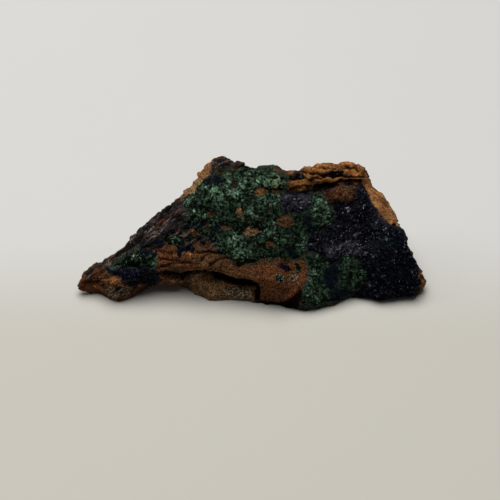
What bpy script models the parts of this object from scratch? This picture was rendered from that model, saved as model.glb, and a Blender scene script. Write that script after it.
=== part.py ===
"""An azurite and malachite specimen: mineral crusts on a wedge of limonite, 100 mm long.

The rock lies on its underside with its display face leaning back. Lengths in this file are in
millimetres and are turned to metres as they go into the meshes. X runs along the rock, Y towards
its back and Z up. The display face has its own frame: "across" is X, "up" climbs the leaning face
and "out" leaves it at right angles.
"""

import math
import random

import bmesh
import bpy
import numpy as np
from mathutils import Matrix, Vector, noise

MM = 0.001

# The display face leans back by this angle from upright, and out points this far above the horizon.
FACE_LEAN = math.radians(40)
SIN, COS = math.sin(FACE_LEAN), math.cos(FACE_LEAN)

# Outline of the rock seen square to its display face: (across, up), clockwise from the nose.
TOP_EDGE = [
    (-50.0, 6.9), (-48.6, 10.7), (-46.6, 12.8), (-43.2, 13.9), (-39.9, 16.1), (-36.5, 18.5),
    (-33.0, 22.2), (-29.5, 25.8), (-26.1, 28.8), (-20.9, 32.0), (-19.2, 34.2), (-17.2, 37.0),
    (-14.0, 40.4), (-11.6, 42.9), (-10.2, 42.8), (-8.2, 44.4), (-5.3, 43.3), (-2.7, 42.4),
    (-1.3, 41.2), (2.7, 40.9), (4.9, 41.6), (7.3, 41.3), (8.9, 39.8), (13.1, 39.8),
    (16.0, 40.9), (18.9, 41.9), (25.8, 42.5), (28.1, 42.9), (32.1, 41.4), (33.9, 38.9),
    (34.4, 36.6), (38.0, 33.3), (40.5, 30.0), (41.9, 26.2), (42.3, 23.9), (43.9, 22.4),
    (44.5, 18.4), (46.5, 14.2), (48.3, 11.0), (50.0, 6.9),
]
BOTTOM_EDGE = [
    (-48.6, 5.2), (-43.1, 4.6), (-40.2, 3.0), (-38.2, 2.3), (-34.7, 3.2), (-31.6, 4.8),
    (-29.5, 6.3), (-26.7, 7.2), (-22.3, 7.4), (-20.0, 6.6), (-16.6, 4.3), (-12.2, 2.6),
    (-2.2, 2.8), (1.3, 1.8), (2.4, 2.4), (3.9, 1.7), (7.1, 1.4), (9.4, 0.6), (12.8, 0.0),
    (16.6, 0.0), (20.0, 0.6), (23.8, 1.8), (27.5, 3.5), (31.6, 3.6), (35.3, 2.9),
    (39.6, 3.5), (47.1, 4.0), (49.7, 5.5),
]
OUTLINE = np.array(TOP_EDGE + BOTTOM_EDGE[::-1])

# How far the face stands out at each place across, where it meets the front wall.
FACE_OUT = [
    (-50, 0.5), (-42, 1.5), (-30, 4.0), (-18, 6.5), (-5, 7.2),
    (5, 6.5), (14, 4.8), (25, 2.4), (50, 0.5),
]
FACE_FALL = 0.20          # the face falls back by this share of its height
WALL_RISE = 0.95          # steepness of the front wall, out per up; 0.84 is upright
WALL_TOE = 1.2            # quick swell where the front wall leaves the ground
ARCH_ACROSS, ARCH_HALF, ARCH_LIFT = -25.0, 4.5, 4.0   # the arch between the nose and the lower lobe
NOSE_TIP, NOSE_ROOT, NOSE_LIFT = -50.0, -44.0, 1.5    # the nose clears the ground by this at its tip
RIM_ROUND = 2.5           # radius of the worn edge round the face
WORN_FOOT = (5.0, 9.0)    # the worn edge starts over this height, above the front wall
WORN_ARC = 0.96           # share of a full quarter round that it takes
BLEND = 1.6               # width of the soft corner between face and front wall

# Lower lip of the limonite ledge: the rock below it is set back.
LEDGE_LIP = [
    (-29.0, 10.8), (-20.9, 11.0), (-14.0, 11.6), (-9.7, 10.4), (-6.4, 9.2),
    (-3.0, 8.6), (-0.2, 8.2), (1.4, 7.0), (2.0, 5.4), (2.3, 2.4),
]
LEDGE_LEFT, LEDGE_RIGHT = (-31.0, -29.0), (2.9, 2.0)   # it fades in and out over these stretches
LEDGE_FOOT = (6.0, 8.5)   # over this height the face runs straight out to the lip, with no wall below it
LIP_SOFT = 0.8            # width of the drop at the lip
LOBE_RISE = 0.38          # steepness of the set-back lower lobe
UNDERCUT_RADIUS = 2.4     # groove eaten out behind the lip
UNDERCUT_PATH = [(-20.5, 9.8), (-15.5, 10.2), (-11.0, 9.6), (-6.0, 8.0), (-1.5, 7.1), (0.6, 5.2)]
UNDERCUT_OUT = 1.2

# The limonite cap along the top right, and the crack below it.
CAP_LINE = [(8.5, 34.8), (14.0, 34.0), (18.0, 34.6), (21.8, 35.8), (29.0, 36.8), (33.0, 36.4)]
CAP_PROUD = 1.8
CAP_LEFT, CAP_RIGHT = (7.5, 10.5), (37.0, 32.0)   # it fades in and out over these stretches
CRACK_SET_BACK = 0.6
CRACK_RADIUS = 0.9
GROOVE_TAPER = 0.45       # both grooves narrow to this share at their ends
CRACK_PATH = [(9.0, 34.6), (14.0, 33.9), (18.0, 34.5), (22.0, 35.7), (28.5, 36.7)]

# The ochre facet that turns away on the right: (across, up) along its inner edge.
OCHRE_EDGE = [(30.2, 43.0), (31.6, 36.5), (32.8, 31.8), (35.0, 28.2), (37.4, 25.2), (42.2, 23.2)]
OCHRE_TURN = 0.9          # how fast it falls away, out per mm from the edge
OCHRE_FOOT = (22.5, 25.0)

# The broken beds along the upper left edge run parallel to it.
BED_PITCH, BED_SLOPE, BED_RELIEF = 7.0, 0.85, 0.5
BED_RIGHT, BED_FOOT = (-12.0, -22.0), (13.0, 17.0)

# Rounded swells on the face: across, up, half width, half height, rise.
SWELLS = [
    (25.4, 32.6, 5.0, 3.0, 1.9),     # reddish knob under the cap
    (20.5, 26.5, 4.2, 4.6, 1.0),
    (-7.5, 20.0, 5.0, 4.2, 1.3),
    (-3.0, 29.5, 7.0, 5.5, 1.2),
    (9.0, 23.0, 6.0, 7.5, 1.2),
    (-15.5, 28.5, 5.0, 4.0, 0.9),
    (-9.5, 37.5, 5.0, 4.5, 0.8),
    (9.5, 8.0, 6.5, 5.0, 1.3),       # round end of the ledge
    (19.0, 6.5, 5.0, 4.5, 1.1),
    (-39.5, 7.6, 5.0, 3.6, 1.3),     # nose
    (-33.0, 12.5, 4.5, 3.5, 0.9),
    (37.0, 14.0, 8.0, 6.0, 0.9),
]

BACK_STEEP = 1.25         # how fast the back falls from the edge, out per mm
BACK_EDGE = 3.2           # blunt thickness of the edge itself
LEAST_THICK = 2.0
BACK_BED_TILT = (0.25, 0.35, 0.9)
BACK_STRATA = 4.2         # spacing of the broken beds on the back
BACK_STRATA_STEP = 0.9

# Underside: hollows between the lobes that the rock stands on: across, depth, radii, height.
HOLLOWS = [
    (-25.5, 9.0, 6.5, 13.0, 4.2),    # arch between nose and lower lobe
    (-47.0, 6.0, 5.0, 6.0, 1.6),
    (4.0, 20.0, 9.0, 8.0, 2.2),
    (28.0, 17.0, 8.0, 7.0, 2.4),
]
HOLLOW_GRAIN, HOLLOW_DEPTH = 11.0, 1.6   # width and depth of the shallow dips between them
GROUND_CUT = 0.5          # shaved off the lowest points, so that they bear flat
GROUND_BOX = 180.0        # side of the cutter that does it

# Broken facets on the back: across, up, depth of the bite there, and the way the facet looks.
BACK_CHIPS = [
    (-16.0, 29.0, 1.8, (-0.50, 0.80, 0.30)),
    (-2.0, 31.0, 1.2, (-0.05, 0.85, 0.50)),
    (10.0, 26.0, 2.2, (0.20, 0.97, 0.10)),
    (24.0, 31.0, 1.4, (0.35, 0.82, 0.40)),
    (34.0, 21.0, 2.0, (0.80, 0.60, 0.05)),
    (-28.0, 17.0, 1.6, (-0.62, 0.78, -0.15)),
    (-8.0, 17.0, 2.0, (-0.15, 0.98, -0.20)),
]
MOST_CHIP = 3.2           # deepest bite
CHIP_CLEAR = (0.5, 5.0)   # a facet fades out this near the rim

# Mineral crusts: outlines on the face, (across, up), rounded between their points.
AZURITE = [
    (16.4, 23.0), (20.0, 24.0), (23.8, 26.2), (23.0, 30.4), (26.2, 29.8), (29.8, 30.6),
    (30.8, 35.6), (32.0, 34.6), (33.2, 31.0), (35.2, 27.2), (38.0, 24.2), (42.2, 22.4), (43.4, 18.6),
    (46.2, 12.6), (47.0, 9.0), (45.6, 5.2), (38.0, 4.2), (27.6, 4.6), (31.0, 6.6), (33.4, 8.2),
    (32.2, 11.2), (29.6, 15.0), (26.0, 16.2), (23.6, 13.0), (21.4, 13.4), (19.2, 15.6), (15.8, 17.8),
]
AZURITE_MIDDLE = [
    (8.8, 33.0), (12.2, 32.6), (16.2, 32.8), (16.5, 30.8), (15.4, 28.8), (12.8, 28.0),
    (9.6, 28.6), (7.8, 30.6),
]
AZURITE_LEFT = [(-39.4, 11.4), (-34.0, 11.0), (-29.2, 11.4), (-28.8, 8.6), (-33.0, 7.4), (-36.6, 9.2)]
MALACHITE = [
    (-19.4, 30.4), (-14.4, 35.8), (-9.6, 38.8), (-2.5, 39.6), (6.6, 39.2), (9.4, 36.6), (7.6, 33.6),
    (6.8, 30.2), (9.2, 27.6), (13.2, 27.0), (16.4, 28.4), (17.4, 30.8), (17.2, 32.8), (19.2, 33.0),
    (21.0, 30.8), (22.9, 28.2), (22.0, 24.8), (17.8, 23.4), (15.0, 21.6), (14.9, 16.6), (11.0, 14.9),
    (2.5, 15.0), (-3.6, 13.9), (-8.8, 16.6), (-10.2, 20.0), (-14.6, 21.8), (-18.8, 23.6), (-17.4, 27.0),
]
MALACHITE_LOWER = [
    (15.4, 14.6), (19.0, 16.0), (21.8, 13.6), (24.2, 13.6), (25.8, 16.8), (29.6, 15.8), (32.4, 11.4),
    (33.6, 9.0), (31.6, 6.8), (27.2, 4.8), (23.8, 3.4), (19.0, 2.2), (13.2, 2.2), (14.6, 6.4), (16.8, 9.8),
]
MALACHITE_LEFT = [(-39.2, 13.0), (-36.2, 15.2), (-32.4, 16.8), (-29.2, 15.8), (-28.8, 12.8), (-34.0, 12.2)]
# Windows where the limonite shows through the malachite: across, up, radius.
WINDOWS = [(9.4, 24.8, 1.7), (2.2, 33.6, 1.5), (-1.2, 22.8, 1.8), (-4.4, 27.8, 1.2)]

CRUST_GAP = 0.3           # between a crust and the rock under it
CRUST_APART = 0.35        # between neighbouring crusts
RAGGED = 0.6              # how far a crust's rim wanders from its outline
RAGGED_TURNS = (2.3, 1.9)    # how fast it does so, in radians per millimetre across and up
CRUST_THICK = 1.1
CRYSTAL_RISE = (0.35, 1.1)   # height of the azurite points
LEAST_CRYSTAL = 0.6          # smallest face that carries one, in square millimetres
NODULE_RISE = 0.6            # height of the malachite nodules
CRUST_FACING = 0.30       # crusts grow only where the surface looks out of the face
CRUST_FLOOR = 2.2         # and only this far above the ground
CUTTER_REACH = 40.0       # half length of the outline cutters
BLOT_POINTS, BLOT_UNEVEN = 9, (0.28, 0.22)   # windows are this uneven, as shares of their radius

# The point of this frame that stands over the origin once the rock is set down.
SEAT = (-0.09, 16.463, 0.5)

LUMPS = [(7.0, 0.55), (2.6, 0.30)]   # size and height of the rock's own unevenness
SLAB_HALF = 5.0
VOXEL, FINE_VOXEL = 1.0, 0.8
WELD = 0.01
ROCK_TRIANGLES = 4150

COLOURS = {
    "limonite": ((0.125, 0.058, 0.022, 1), 0.88),
    "azurite": ((0.010, 0.012, 0.035, 1), 0.35),
    "malachite": ((0.030, 0.110, 0.065, 1), 0.75),
}


# ---------------------------------------------------------------- shapes on the face

def edge_distance(across, up, outline):
    """Distance to a closed outline, positive inside it."""
    best = np.full(len(across), 1e9)
    inside = np.zeros(len(across), bool)
    for (x0, y0), (x1, y1) in zip(outline, np.roll(outline, -1, axis=0)):
        run, rise = x1 - x0, y1 - y0
        share = np.clip(((across - x0) * run + (up - y0) * rise) / (run**2 + rise**2), 0, 1)
        best = np.minimum(best, np.hypot(across - x0 - share * run, up - y0 - share * rise))
        if y0 != y1:
            crossing = (y0 > up) != (y1 > up)
            inside ^= crossing & (across < run * (up - y0) / rise + x0)
    return np.where(inside, best, -best)


def step(low, high, value):
    """A soft step from 0 at low to 1 at high."""
    share = np.clip((value - low) / (high - low), 0, 1)
    return share * share * (3 - 2 * share)


def soft_least(a, b, width):
    """The lesser of two reliefs, with the corner between them rounded off."""
    share = np.clip(0.5 + 0.5 * (b - a) / width, 0, 1)
    return b * (1 - share) + a * share - width * share * (1 - share)


def along(line, across):
    return np.interp(across, *np.array(line).T)


def grain(points, size, octaves=3):
    """Fractal noise of about -1 to 1 at points in millimetres, its lumps about size across."""
    return np.array([noise.fractal(Vector(p) / size, 1.0, 2.0, octaves) for p in points])


def to_rock(across, up, out):
    """Face coordinates to the rock's own X, Y, Z."""
    return np.stack([across, up * SIN - out * COS, up * COS + out * SIN], axis=-1)


def to_face(points):
    """The rock's X, Y, Z to across, up, out."""
    x, y, z = points.T
    return x, y * SIN + z * COS, z * SIN - y * COS


# ---------------------------------------------------------------- the limonite

def toe_out(across, up, lift):
    """Where a point this high above the ground lies, measured out of the face."""
    return (lift - up * COS) / SIN


def front_wall(across, up, rise):
    bottom = along(BOTTOM_EDGE, across)
    lift = ARCH_LIFT * np.exp(-(((across - ARCH_ACROSS) / ARCH_HALF) ** 4))
    lift += NOSE_LIFT * step(NOSE_ROOT, NOSE_TIP, across)
    height = np.maximum(up - bottom, 0)
    return toe_out(across, bottom, lift) + rise * height + WALL_TOE * (1 - np.exp(-height))


def smooth_face(across, up):
    """The face without its ledges: what the back is measured from."""
    return along(FACE_OUT, across) - FACE_FALL * up


def front(across, up, inset):
    """Relief of the display side, out of the face."""
    face = smooth_face(across, up)
    for x, y, wide, high, rise in SWELLS:
        face += rise * np.exp(-(((across - x) / wide) ** 2) - ((up - y) / high) ** 2)
    under_cap = step(LIP_SOFT, -LIP_SOFT / 2, up - along(CAP_LINE, across))
    face -= CAP_PROUD * under_cap * step(*CAP_LEFT, across) * step(*CAP_RIGHT, across)
    past_edge = across - np.interp(-up, *np.array([(-y, x) for x, y in OCHRE_EDGE]).T)
    face -= OCHRE_TURN * np.maximum(past_edge, 0) * step(*OCHRE_FOOT, up)
    beds = np.sin(math.tau * (up - BED_SLOPE * across) / BED_PITCH)
    face += BED_RELIEF * beds * step(*BED_RIGHT, across) * step(*BED_FOOT, up)
    whole = soft_least(face, front_wall(across, up, WALL_RISE), BLEND)
    ledge = step(*LEDGE_LEFT, across) * step(*LEDGE_RIGHT, across)
    whole += (face - whole) * ledge * step(*LEDGE_FOOT, up)
    lobe = np.minimum(front_wall(across, up, LOBE_RISE), face)
    below_lip = step(LIP_SOFT, 0, up - along(LEDGE_LIP, across)) * ledge
    whole = whole * (1 - below_lip) + lobe * below_lip
    worn = np.clip(1 - inset / RIM_ROUND, 0, 1)
    return whole - RIM_ROUND * (1 - np.sqrt(1 - WORN_ARC * worn**2)) * step(*WORN_FOOT, up)


def underside(across, up):
    """Height of the underside above the ground."""
    out = toe_out(across, up, 0.0)
    depth = up * SIN - out * COS
    height = np.zeros(len(across))
    for x, y, wide, deep, rise in HOLLOWS:
        height += rise * np.exp(-(((across - x) / wide) ** 4) - ((depth - y) / deep) ** 4)
    uneven = grain(np.stack([across, depth, 0 * depth], 1), HOLLOW_GRAIN)
    return height + np.maximum(HOLLOW_DEPTH * uneven, 0)


def back(across, up, inset):
    """Relief of the back and underside, out of the face."""
    wall = smooth_face(across, up) - BACK_EDGE - BACK_STEEP * inset
    beds = to_rock(across, up, wall) @ np.array(BACK_BED_TILT) / BACK_STRATA
    wall -= BACK_STRATA_STEP * (np.mod(beds, 1) ** 2) * step(0, 3, inset)
    level = to_rock(across, up, 0 * up)
    whole = wall.copy()
    for x, y, bite, looks in BACK_CHIPS:
        looks = np.array(looks)
        nearest = np.argmin(np.hypot(across - x, up - y))
        seat = to_rock(x, y, whole[nearest] + bite)
        facet = (looks @ seat - level @ looks) / (looks @ to_rock(0.0, 0.0, 1.0))
        bitten = np.clip(facet - whole, 0, MOST_CHIP) * step(*CHIP_CLEAR, inset)
        wall = np.maximum(wall, whole + bitten)
    return np.maximum(wall, toe_out(across, up, underside(across, up)))


def mesh_object(name, mesh, collection):
    made = bpy.data.objects.new(name, mesh)
    collection.objects.link(made)
    return made


def evaluated_mesh(source):
    """The object's mesh with its modifiers, as the viewport shows it."""
    bpy.context.view_layer.update()
    graph = bpy.context.evaluated_depsgraph_get()
    return bpy.data.meshes.new_from_object(source.evaluated_get(graph), depsgraph=graph)


def settle(target):
    """Replaces the object's mesh by its evaluated one and drops the modifiers."""
    mesh = evaluated_mesh(target)
    target.modifiers.clear()
    target.data = mesh
    return target


def weld(mesh):
    cage = bmesh.new()
    cage.from_mesh(mesh)
    bmesh.ops.remove_doubles(cage, verts=cage.verts, dist=WELD * MM)
    cage.to_mesh(mesh)
    cage.free()


def points_of(mesh):
    found = np.empty(len(mesh.vertices) * 3)
    mesh.vertices.foreach_get("co", found)
    return found.reshape(-1, 3) / MM


def put_points(mesh, points):
    mesh.vertices.foreach_set("co", (points * MM).ravel())
    mesh.update()


def normals_of(mesh):
    found = np.empty(len(mesh.vertices) * 3, np.float32)
    mesh.vertex_normals.foreach_get("vector", found)
    return found.reshape(-1, 3).astype(float)


def outline_slab(collection):
    """The outline as a flat slab, remeshed evenly so that its points can take the relief."""
    curve = bpy.data.curves.new("slab", "CURVE")
    curve.dimensions = "2D"
    curve.fill_mode = "BOTH"
    curve.extrude = SLAB_HALF * MM
    spline = curve.splines.new("POLY")
    spline.points.add(len(OUTLINE) - 1)
    for point, (across, up) in zip(spline.points, OUTLINE):
        point.co = (across * MM, up * MM, 0, 1)
    spline.use_cyclic_u = True
    flat = mesh_object("slab_curve", curve, collection)
    mesh = evaluated_mesh(flat)
    bpy.data.objects.remove(flat)
    weld(mesh)
    slab = mesh_object("limonite_matrix", mesh, collection)
    remesh = slab.modifiers.new("even", "REMESH")
    remesh.mode = "VOXEL"
    remesh.voxel_size = VOXEL * MM
    return settle(slab)


def give_relief(rock):
    """Moves each point of the slab along the face's out direction, between the front and the back."""
    across, up, level = points_of(rock.data).T
    inset = np.maximum(edge_distance(across, up, OUTLINE), 0)
    ahead = front(across, up, inset)
    behind = np.minimum(back(across, up, inset), ahead - LEAST_THICK)
    share = np.clip(0.5 + 0.5 * level / SLAB_HALF, 0, 1)
    put_points(rock.data, to_rock(across, up, behind + (ahead - behind) * share))


def groove(name, path, radius, depth_out, collection):
    """A rounded cutter along a line on the face."""
    curve = bpy.data.curves.new(name, "CURVE")
    curve.dimensions = "3D"
    curve.bevel_depth = radius * MM
    curve.bevel_resolution = 2
    curve.use_fill_caps = True
    spline = curve.splines.new("POLY")
    spline.points.add(len(path) - 1)
    places = to_rock(*np.array(path).T, np.broadcast_to(depth_out, len(path)))
    for index, (point, place) in enumerate(zip(spline.points, places)):
        point.co = (*(place * MM), 1)
        point.radius = GROOVE_TAPER if index in (0, len(path) - 1) else 1.0
    tube = mesh_object(name + "_curve", curve, collection)
    mesh = evaluated_mesh(tube)
    bpy.data.objects.remove(tube)
    weld(mesh)
    cutter = mesh_object(name, mesh, collection)
    cutter.hide_render = True
    cutter.display_type = "WIRE"
    return cutter


def boolean(target, other, operation, folded=False):
    """Cuts the target by another mesh; folded says that its skin may pass through itself."""
    cut = target.modifiers.new(other.name, "BOOLEAN")
    cut.operation = operation
    cut.solver = "EXACT"
    cut.use_self = folded
    cut.object = other
    return settle(target)


def remesh(target, voxel):
    even = target.modifiers.new("even", "REMESH")
    even.mode = "VOXEL"
    even.voxel_size = voxel * MM
    return settle(target)


def roughen(rock):
    """Breaks the smooth surface up into lumps and grain."""
    points = points_of(rock.data)
    lumps = sum(height * grain(points, size) for size, height in LUMPS)
    put_points(rock.data, points + normals_of(rock.data) * lumps[:, None])


def thin_out(rock, triangles):
    thin = rock.modifiers.new("facets", "DECIMATE")
    thin.ratio = triangles / sum(len(face.vertices) - 2 for face in rock.data.polygons)
    thin.use_collapse_triangulate = True
    return settle(rock)


def ground_box(collection):
    """Everything above the ground cut."""
    cage = bmesh.new()
    middle = Matrix.Translation((0, 0, (GROUND_CUT + GROUND_BOX / 2) * MM))
    bmesh.ops.create_cube(cage, size=GROUND_BOX * MM, matrix=middle)
    mesh = bpy.data.meshes.new("above_ground")
    cage.to_mesh(mesh)
    cage.free()
    box = mesh_object("above_ground", mesh, collection)
    box.hide_render = True
    box.display_type = "WIRE"
    return box


def limonite(collection, cutters):
    rock = outline_slab(collection)
    give_relief(rock)
    undercut = groove("ledge_undercut", UNDERCUT_PATH, UNDERCUT_RADIUS, UNDERCUT_OUT, cutters)
    boolean(rock, undercut, "DIFFERENCE")
    crack_out = smooth_face(*np.array(CRACK_PATH).T) - CRACK_SET_BACK
    crack = groove("cap_crack", CRACK_PATH, CRACK_RADIUS, crack_out, cutters)
    boolean(rock, crack, "DIFFERENCE")
    remesh(rock, FINE_VOXEL)
    roughen(rock)
    thin_out(rock, ROCK_TRIANGLES)
    return rock


# ---------------------------------------------------------------- the crusts

def connected(faces):
    """The largest group of faces joined by their edges."""
    loose, groups = set(faces), []
    while loose:
        group, todo = set(), [loose.pop()]
        while todo:
            face = todo.pop()
            group.add(face)
            near = {other for edge in face.edges for other in edge.link_faces} & loose
            loose -= near
            todo += near
        groups.append(group)
    return max(groups, key=len)


def without_pinches(faces):
    """Drops faces until no two parts of the sheet meet in a single corner."""
    faces = connected(faces)
    while True:
        pinched = set()
        for vertex in {v for face in faces for v in face.verts}:
            rims = [e for e in vertex.link_edges if len(faces.intersection(e.link_faces)) == 1]
            if len(rims) > 2:
                pinched |= faces.intersection(vertex.link_faces)
        if not pinched:
            return faces
        faces = connected(faces - pinched)


def largest_body(cage):
    """Deletes all but the largest connected piece of a closed mesh."""
    kept = connected(cage.faces)
    bmesh.ops.delete(cage, geom=[face for face in cage.faces if face not in kept], context="FACES")


def faces_out(face):
    return face.normal.z * SIN - face.normal.y * COS


def skin(rock, collection):
    """The display side of the rock, lifted clear of it and given the thickness of a crust."""
    cage = bmesh.new()
    cage.from_mesh(rock.data)
    cage.normal_update()
    floor = CRUST_FLOOR * MM
    facing = [f for f in cage.faces if faces_out(f) > CRUST_FACING and f.calc_center_median().z > floor]
    kept = without_pinches(facing)
    bmesh.ops.delete(cage, geom=[face for face in cage.faces if face not in kept], context="FACES")
    cage.normal_update()
    for vertex in cage.verts:
        vertex.co += vertex.normal * CRUST_GAP * MM
    made = bmesh.ops.extrude_face_region(cage, geom=cage.faces[:], use_keep_orig=True)["geom"]
    for vertex in made:
        if isinstance(vertex, bmesh.types.BMVert):
            vertex.co += vertex.normal * CRUST_THICK * MM
    bmesh.ops.recalc_face_normals(cage, faces=cage.faces)
    mesh = bpy.data.meshes.new("skin")
    cage.to_mesh(mesh)
    cage.free()
    lifted = mesh_object("skin", mesh, collection)
    lifted.hide_render = True
    return lifted


def ring(curve, points):
    """A closed smooth spline through points on the face."""
    spline = curve.splines.new("BEZIER")
    spline.bezier_points.add(len(points) - 1)
    for knot, (across, up) in zip(spline.bezier_points, points):
        knot.co = (across * MM, up * MM, 0)
        knot.handle_left_type = knot.handle_right_type = "AUTO"
    spline.use_cyclic_u = True
    spline.resolution_u = 2


def blot(across, up, radius):
    """An uneven round outline."""
    turns = np.arange(BLOT_POINTS) * math.tau / BLOT_POINTS
    oval, lobed = BLOT_UNEVEN
    reach = radius * (1 + oval * np.sin(2 * turns + across) + lobed * np.sin(3 * turns + up))
    return list(zip(across + reach * np.cos(turns), up + reach * np.sin(turns)))


def ragged(outline):
    """The outline with a point added on every stretch, moved to one side or the other."""
    points = np.array(outline)
    chord = np.roll(points, -1, axis=0) - points
    middle = points + chord / 2
    shift = RAGGED * np.sin(middle @ np.array(RAGGED_TURNS))
    square = np.stack([-chord[:, 1], chord[:, 0]], 1) / np.linalg.norm(chord, axis=1)[:, None]
    return np.stack([points, middle + square * shift[:, None]], 1).reshape(-1, 2)


def outline_cutter(name, outline, windows, grown, collection):
    """A prism through the rock, square to the face, over an outline with holes for its windows."""
    curve = bpy.data.curves.new(name, "CURVE")
    curve.dimensions = "2D"
    curve.fill_mode = "BOTH"
    curve.extrude = CUTTER_REACH * MM
    ring(curve, outset(ragged(outline), grown))
    for window in windows:
        ring(curve, blot(*window))
    flat = mesh_object(name + "_curve", curve, collection)
    mesh = evaluated_mesh(flat)
    bpy.data.objects.remove(flat)
    weld(mesh)
    mesh.transform(Matrix(((1, 0, 0, 0), (0, SIN, -COS, 0), (0, COS, SIN, 0), (0, 0, 0, 1))))
    cutter = mesh_object(name, mesh, collection)
    cutter.hide_render = True
    cutter.display_type = "WIRE"
    return cutter


def outset(outline, grown):
    """The outline with every point moved outwards, square to the line through its neighbours."""
    points = np.array(outline)
    chord = np.roll(points, -1, axis=0) - np.roll(points, 1, axis=0)
    square = np.stack([-chord[:, 1], chord[:, 0]], 1) / np.linalg.norm(chord, axis=1)[:, None]
    return points + grown * square


def raise_crystals(cage, outer, chance):
    """A flat-sided point on every outer face that has room for one."""
    roomy = [face for face in outer if face.calc_area() > LEAST_CRYSTAL * MM**2]
    points = bmesh.ops.poke(cage, faces=roomy)["verts"]
    cage.normal_update()
    for point in points:
        point.co += point.normal * chance.uniform(*CRYSTAL_RISE) * MM


def raise_nodules(outer, chance):
    """Low rounded lumps, clear of the crust's rim."""
    among = set(outer)
    for vertex in sorted({v for face in outer for v in face.verts}, key=lambda v: v.index):
        if among.issuperset(vertex.link_faces):
            vertex.co += vertex.normal * chance.uniform(0, NODULE_RISE) * MM


def crust(name, lifted, outline, windows, neighbours, kind, collection, cutters):
    """A closed crust that follows the rock: pointed where it is azurite, nodular where malachite."""
    piece = mesh_object(name, lifted.data.copy(), collection)
    boolean(piece, outline_cutter(name + "_outline", outline, windows, 0, cutters), "INTERSECT", True)
    for index, other in enumerate(neighbours):
        cutter = outline_cutter(f"{name}_beside_{index}", other, (), CRUST_APART, cutters)
        boolean(piece, cutter, "DIFFERENCE", True)
    cage = bmesh.new()
    cage.from_mesh(piece.data)
    bmesh.ops.triangulate(cage, faces=cage.faces)
    bmesh.ops.dissolve_degenerate(cage, edges=cage.edges, dist=2 * WELD * MM)
    largest_body(cage)
    cage.normal_update()
    outer = [face for face in cage.faces if faces_out(face) > CRUST_FACING]
    chance = random.Random(name)
    if kind == "azurite":
        raise_crystals(cage, outer, chance)
    else:
        raise_nodules(outer, chance)
    cage.to_mesh(piece.data)
    cage.free()
    return piece


def finish(target, slot):
    """A plain material of the mineral's colour."""
    colour, roughness = COLOURS[slot]
    material = bpy.data.materials.get(slot) or bpy.data.materials.new(slot)
    material.use_nodes = True
    shader = material.node_tree.nodes["Principled BSDF"]
    shader.inputs["Base Color"].default_value = colour
    shader.inputs["Roughness"].default_value = roughness
    shader.inputs["Metallic"].default_value = 0.0
    target.data.materials.clear()
    target.data.materials.append(material)
    target.data.shade_flat()


# Name, outline, windows, the outlines that it stops short of, mineral.
CRUSTS = [
    ("azurite_crust", AZURITE, (), (), "azurite"),
    ("azurite_patch_middle", AZURITE_MIDDLE, (), (), "azurite"),
    ("azurite_patch_left", AZURITE_LEFT, (), (), "azurite"),
    ("malachite_crust", MALACHITE, WINDOWS, (AZURITE, AZURITE_MIDDLE), "malachite"),
    ("malachite_crust_lower", MALACHITE_LOWER, (), (AZURITE, MALACHITE), "malachite"),
    ("malachite_patch_left", MALACHITE_LEFT, (), (AZURITE_LEFT,), "malachite"),
]


def main():
    for thing in list(bpy.data.objects):
        bpy.data.objects.remove(thing)
    scene = bpy.context.scene.collection
    specimen = bpy.data.collections.new("azurite_specimen")
    cutters = bpy.data.collections.new("cutters")
    scene.children.link(specimen)
    scene.children.link(cutters)
    rock = limonite(specimen, cutters)
    lifted = skin(rock, cutters)
    boolean(rock, ground_box(cutters), "INTERSECT")
    finish(rock, "limonite")
    for name, outline, windows, neighbours, kind in CRUSTS:
        finish(crust(name, lifted, outline, windows, neighbours, kind, specimen, cutters), kind)
    for piece in specimen.objects:
        piece.location = -MM * Vector(SEAT)


main()
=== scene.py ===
"""Azurite specimen: the finished look of a limonite hand specimen with azurite and malachite on it.

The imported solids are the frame. The rock is remade finely over its solid, the mineral crusts grow
from the rock's own surface, and Geometry Nodes set the crystals on them. Sizes called mm are in
millimetres; everything else is in metres. The display face has its own frame: across is X, up
climbs the leaning face and out leaves it at right angles.
"""

import math

import bmesh
import bpy
import numpy as np
from bpy.props import FloatProperty, FloatVectorProperty, IntProperty, PointerProperty
from mathutils import Matrix, Vector, noise


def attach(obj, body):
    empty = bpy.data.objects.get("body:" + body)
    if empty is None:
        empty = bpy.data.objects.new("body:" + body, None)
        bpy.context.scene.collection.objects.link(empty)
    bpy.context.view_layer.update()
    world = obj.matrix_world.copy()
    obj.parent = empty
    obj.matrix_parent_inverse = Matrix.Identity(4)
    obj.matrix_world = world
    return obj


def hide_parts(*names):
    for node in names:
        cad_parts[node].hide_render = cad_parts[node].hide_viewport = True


bl_info = {
    "name": "Azurite specimen",
    "version": (1, 0, 0),
    "blender": (4, 5, 0),
    "location": "3D View > Sidebar > Specimen",
    "description": "Grows azurite and malachite over a limonite rock",
    "category": "Object",
}

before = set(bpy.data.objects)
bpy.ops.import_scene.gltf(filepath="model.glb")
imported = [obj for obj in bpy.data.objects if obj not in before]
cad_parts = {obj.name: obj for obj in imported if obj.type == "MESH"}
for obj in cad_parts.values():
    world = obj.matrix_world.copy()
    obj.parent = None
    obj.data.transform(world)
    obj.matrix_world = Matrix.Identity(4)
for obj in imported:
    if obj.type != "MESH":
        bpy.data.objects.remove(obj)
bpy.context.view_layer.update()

MM = 0.001
FACE_LEAN = math.radians(40)
SIN, COS = math.sin(FACE_LEAN), math.cos(FACE_LEAN)
OUT = np.array([0.0, -COS, SIN])
SEAT = np.array([-0.09, 16.463, 0.5])    # mm: what stands over the origin in the face's own frame

# ---- where things are, in mm on the face

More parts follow.
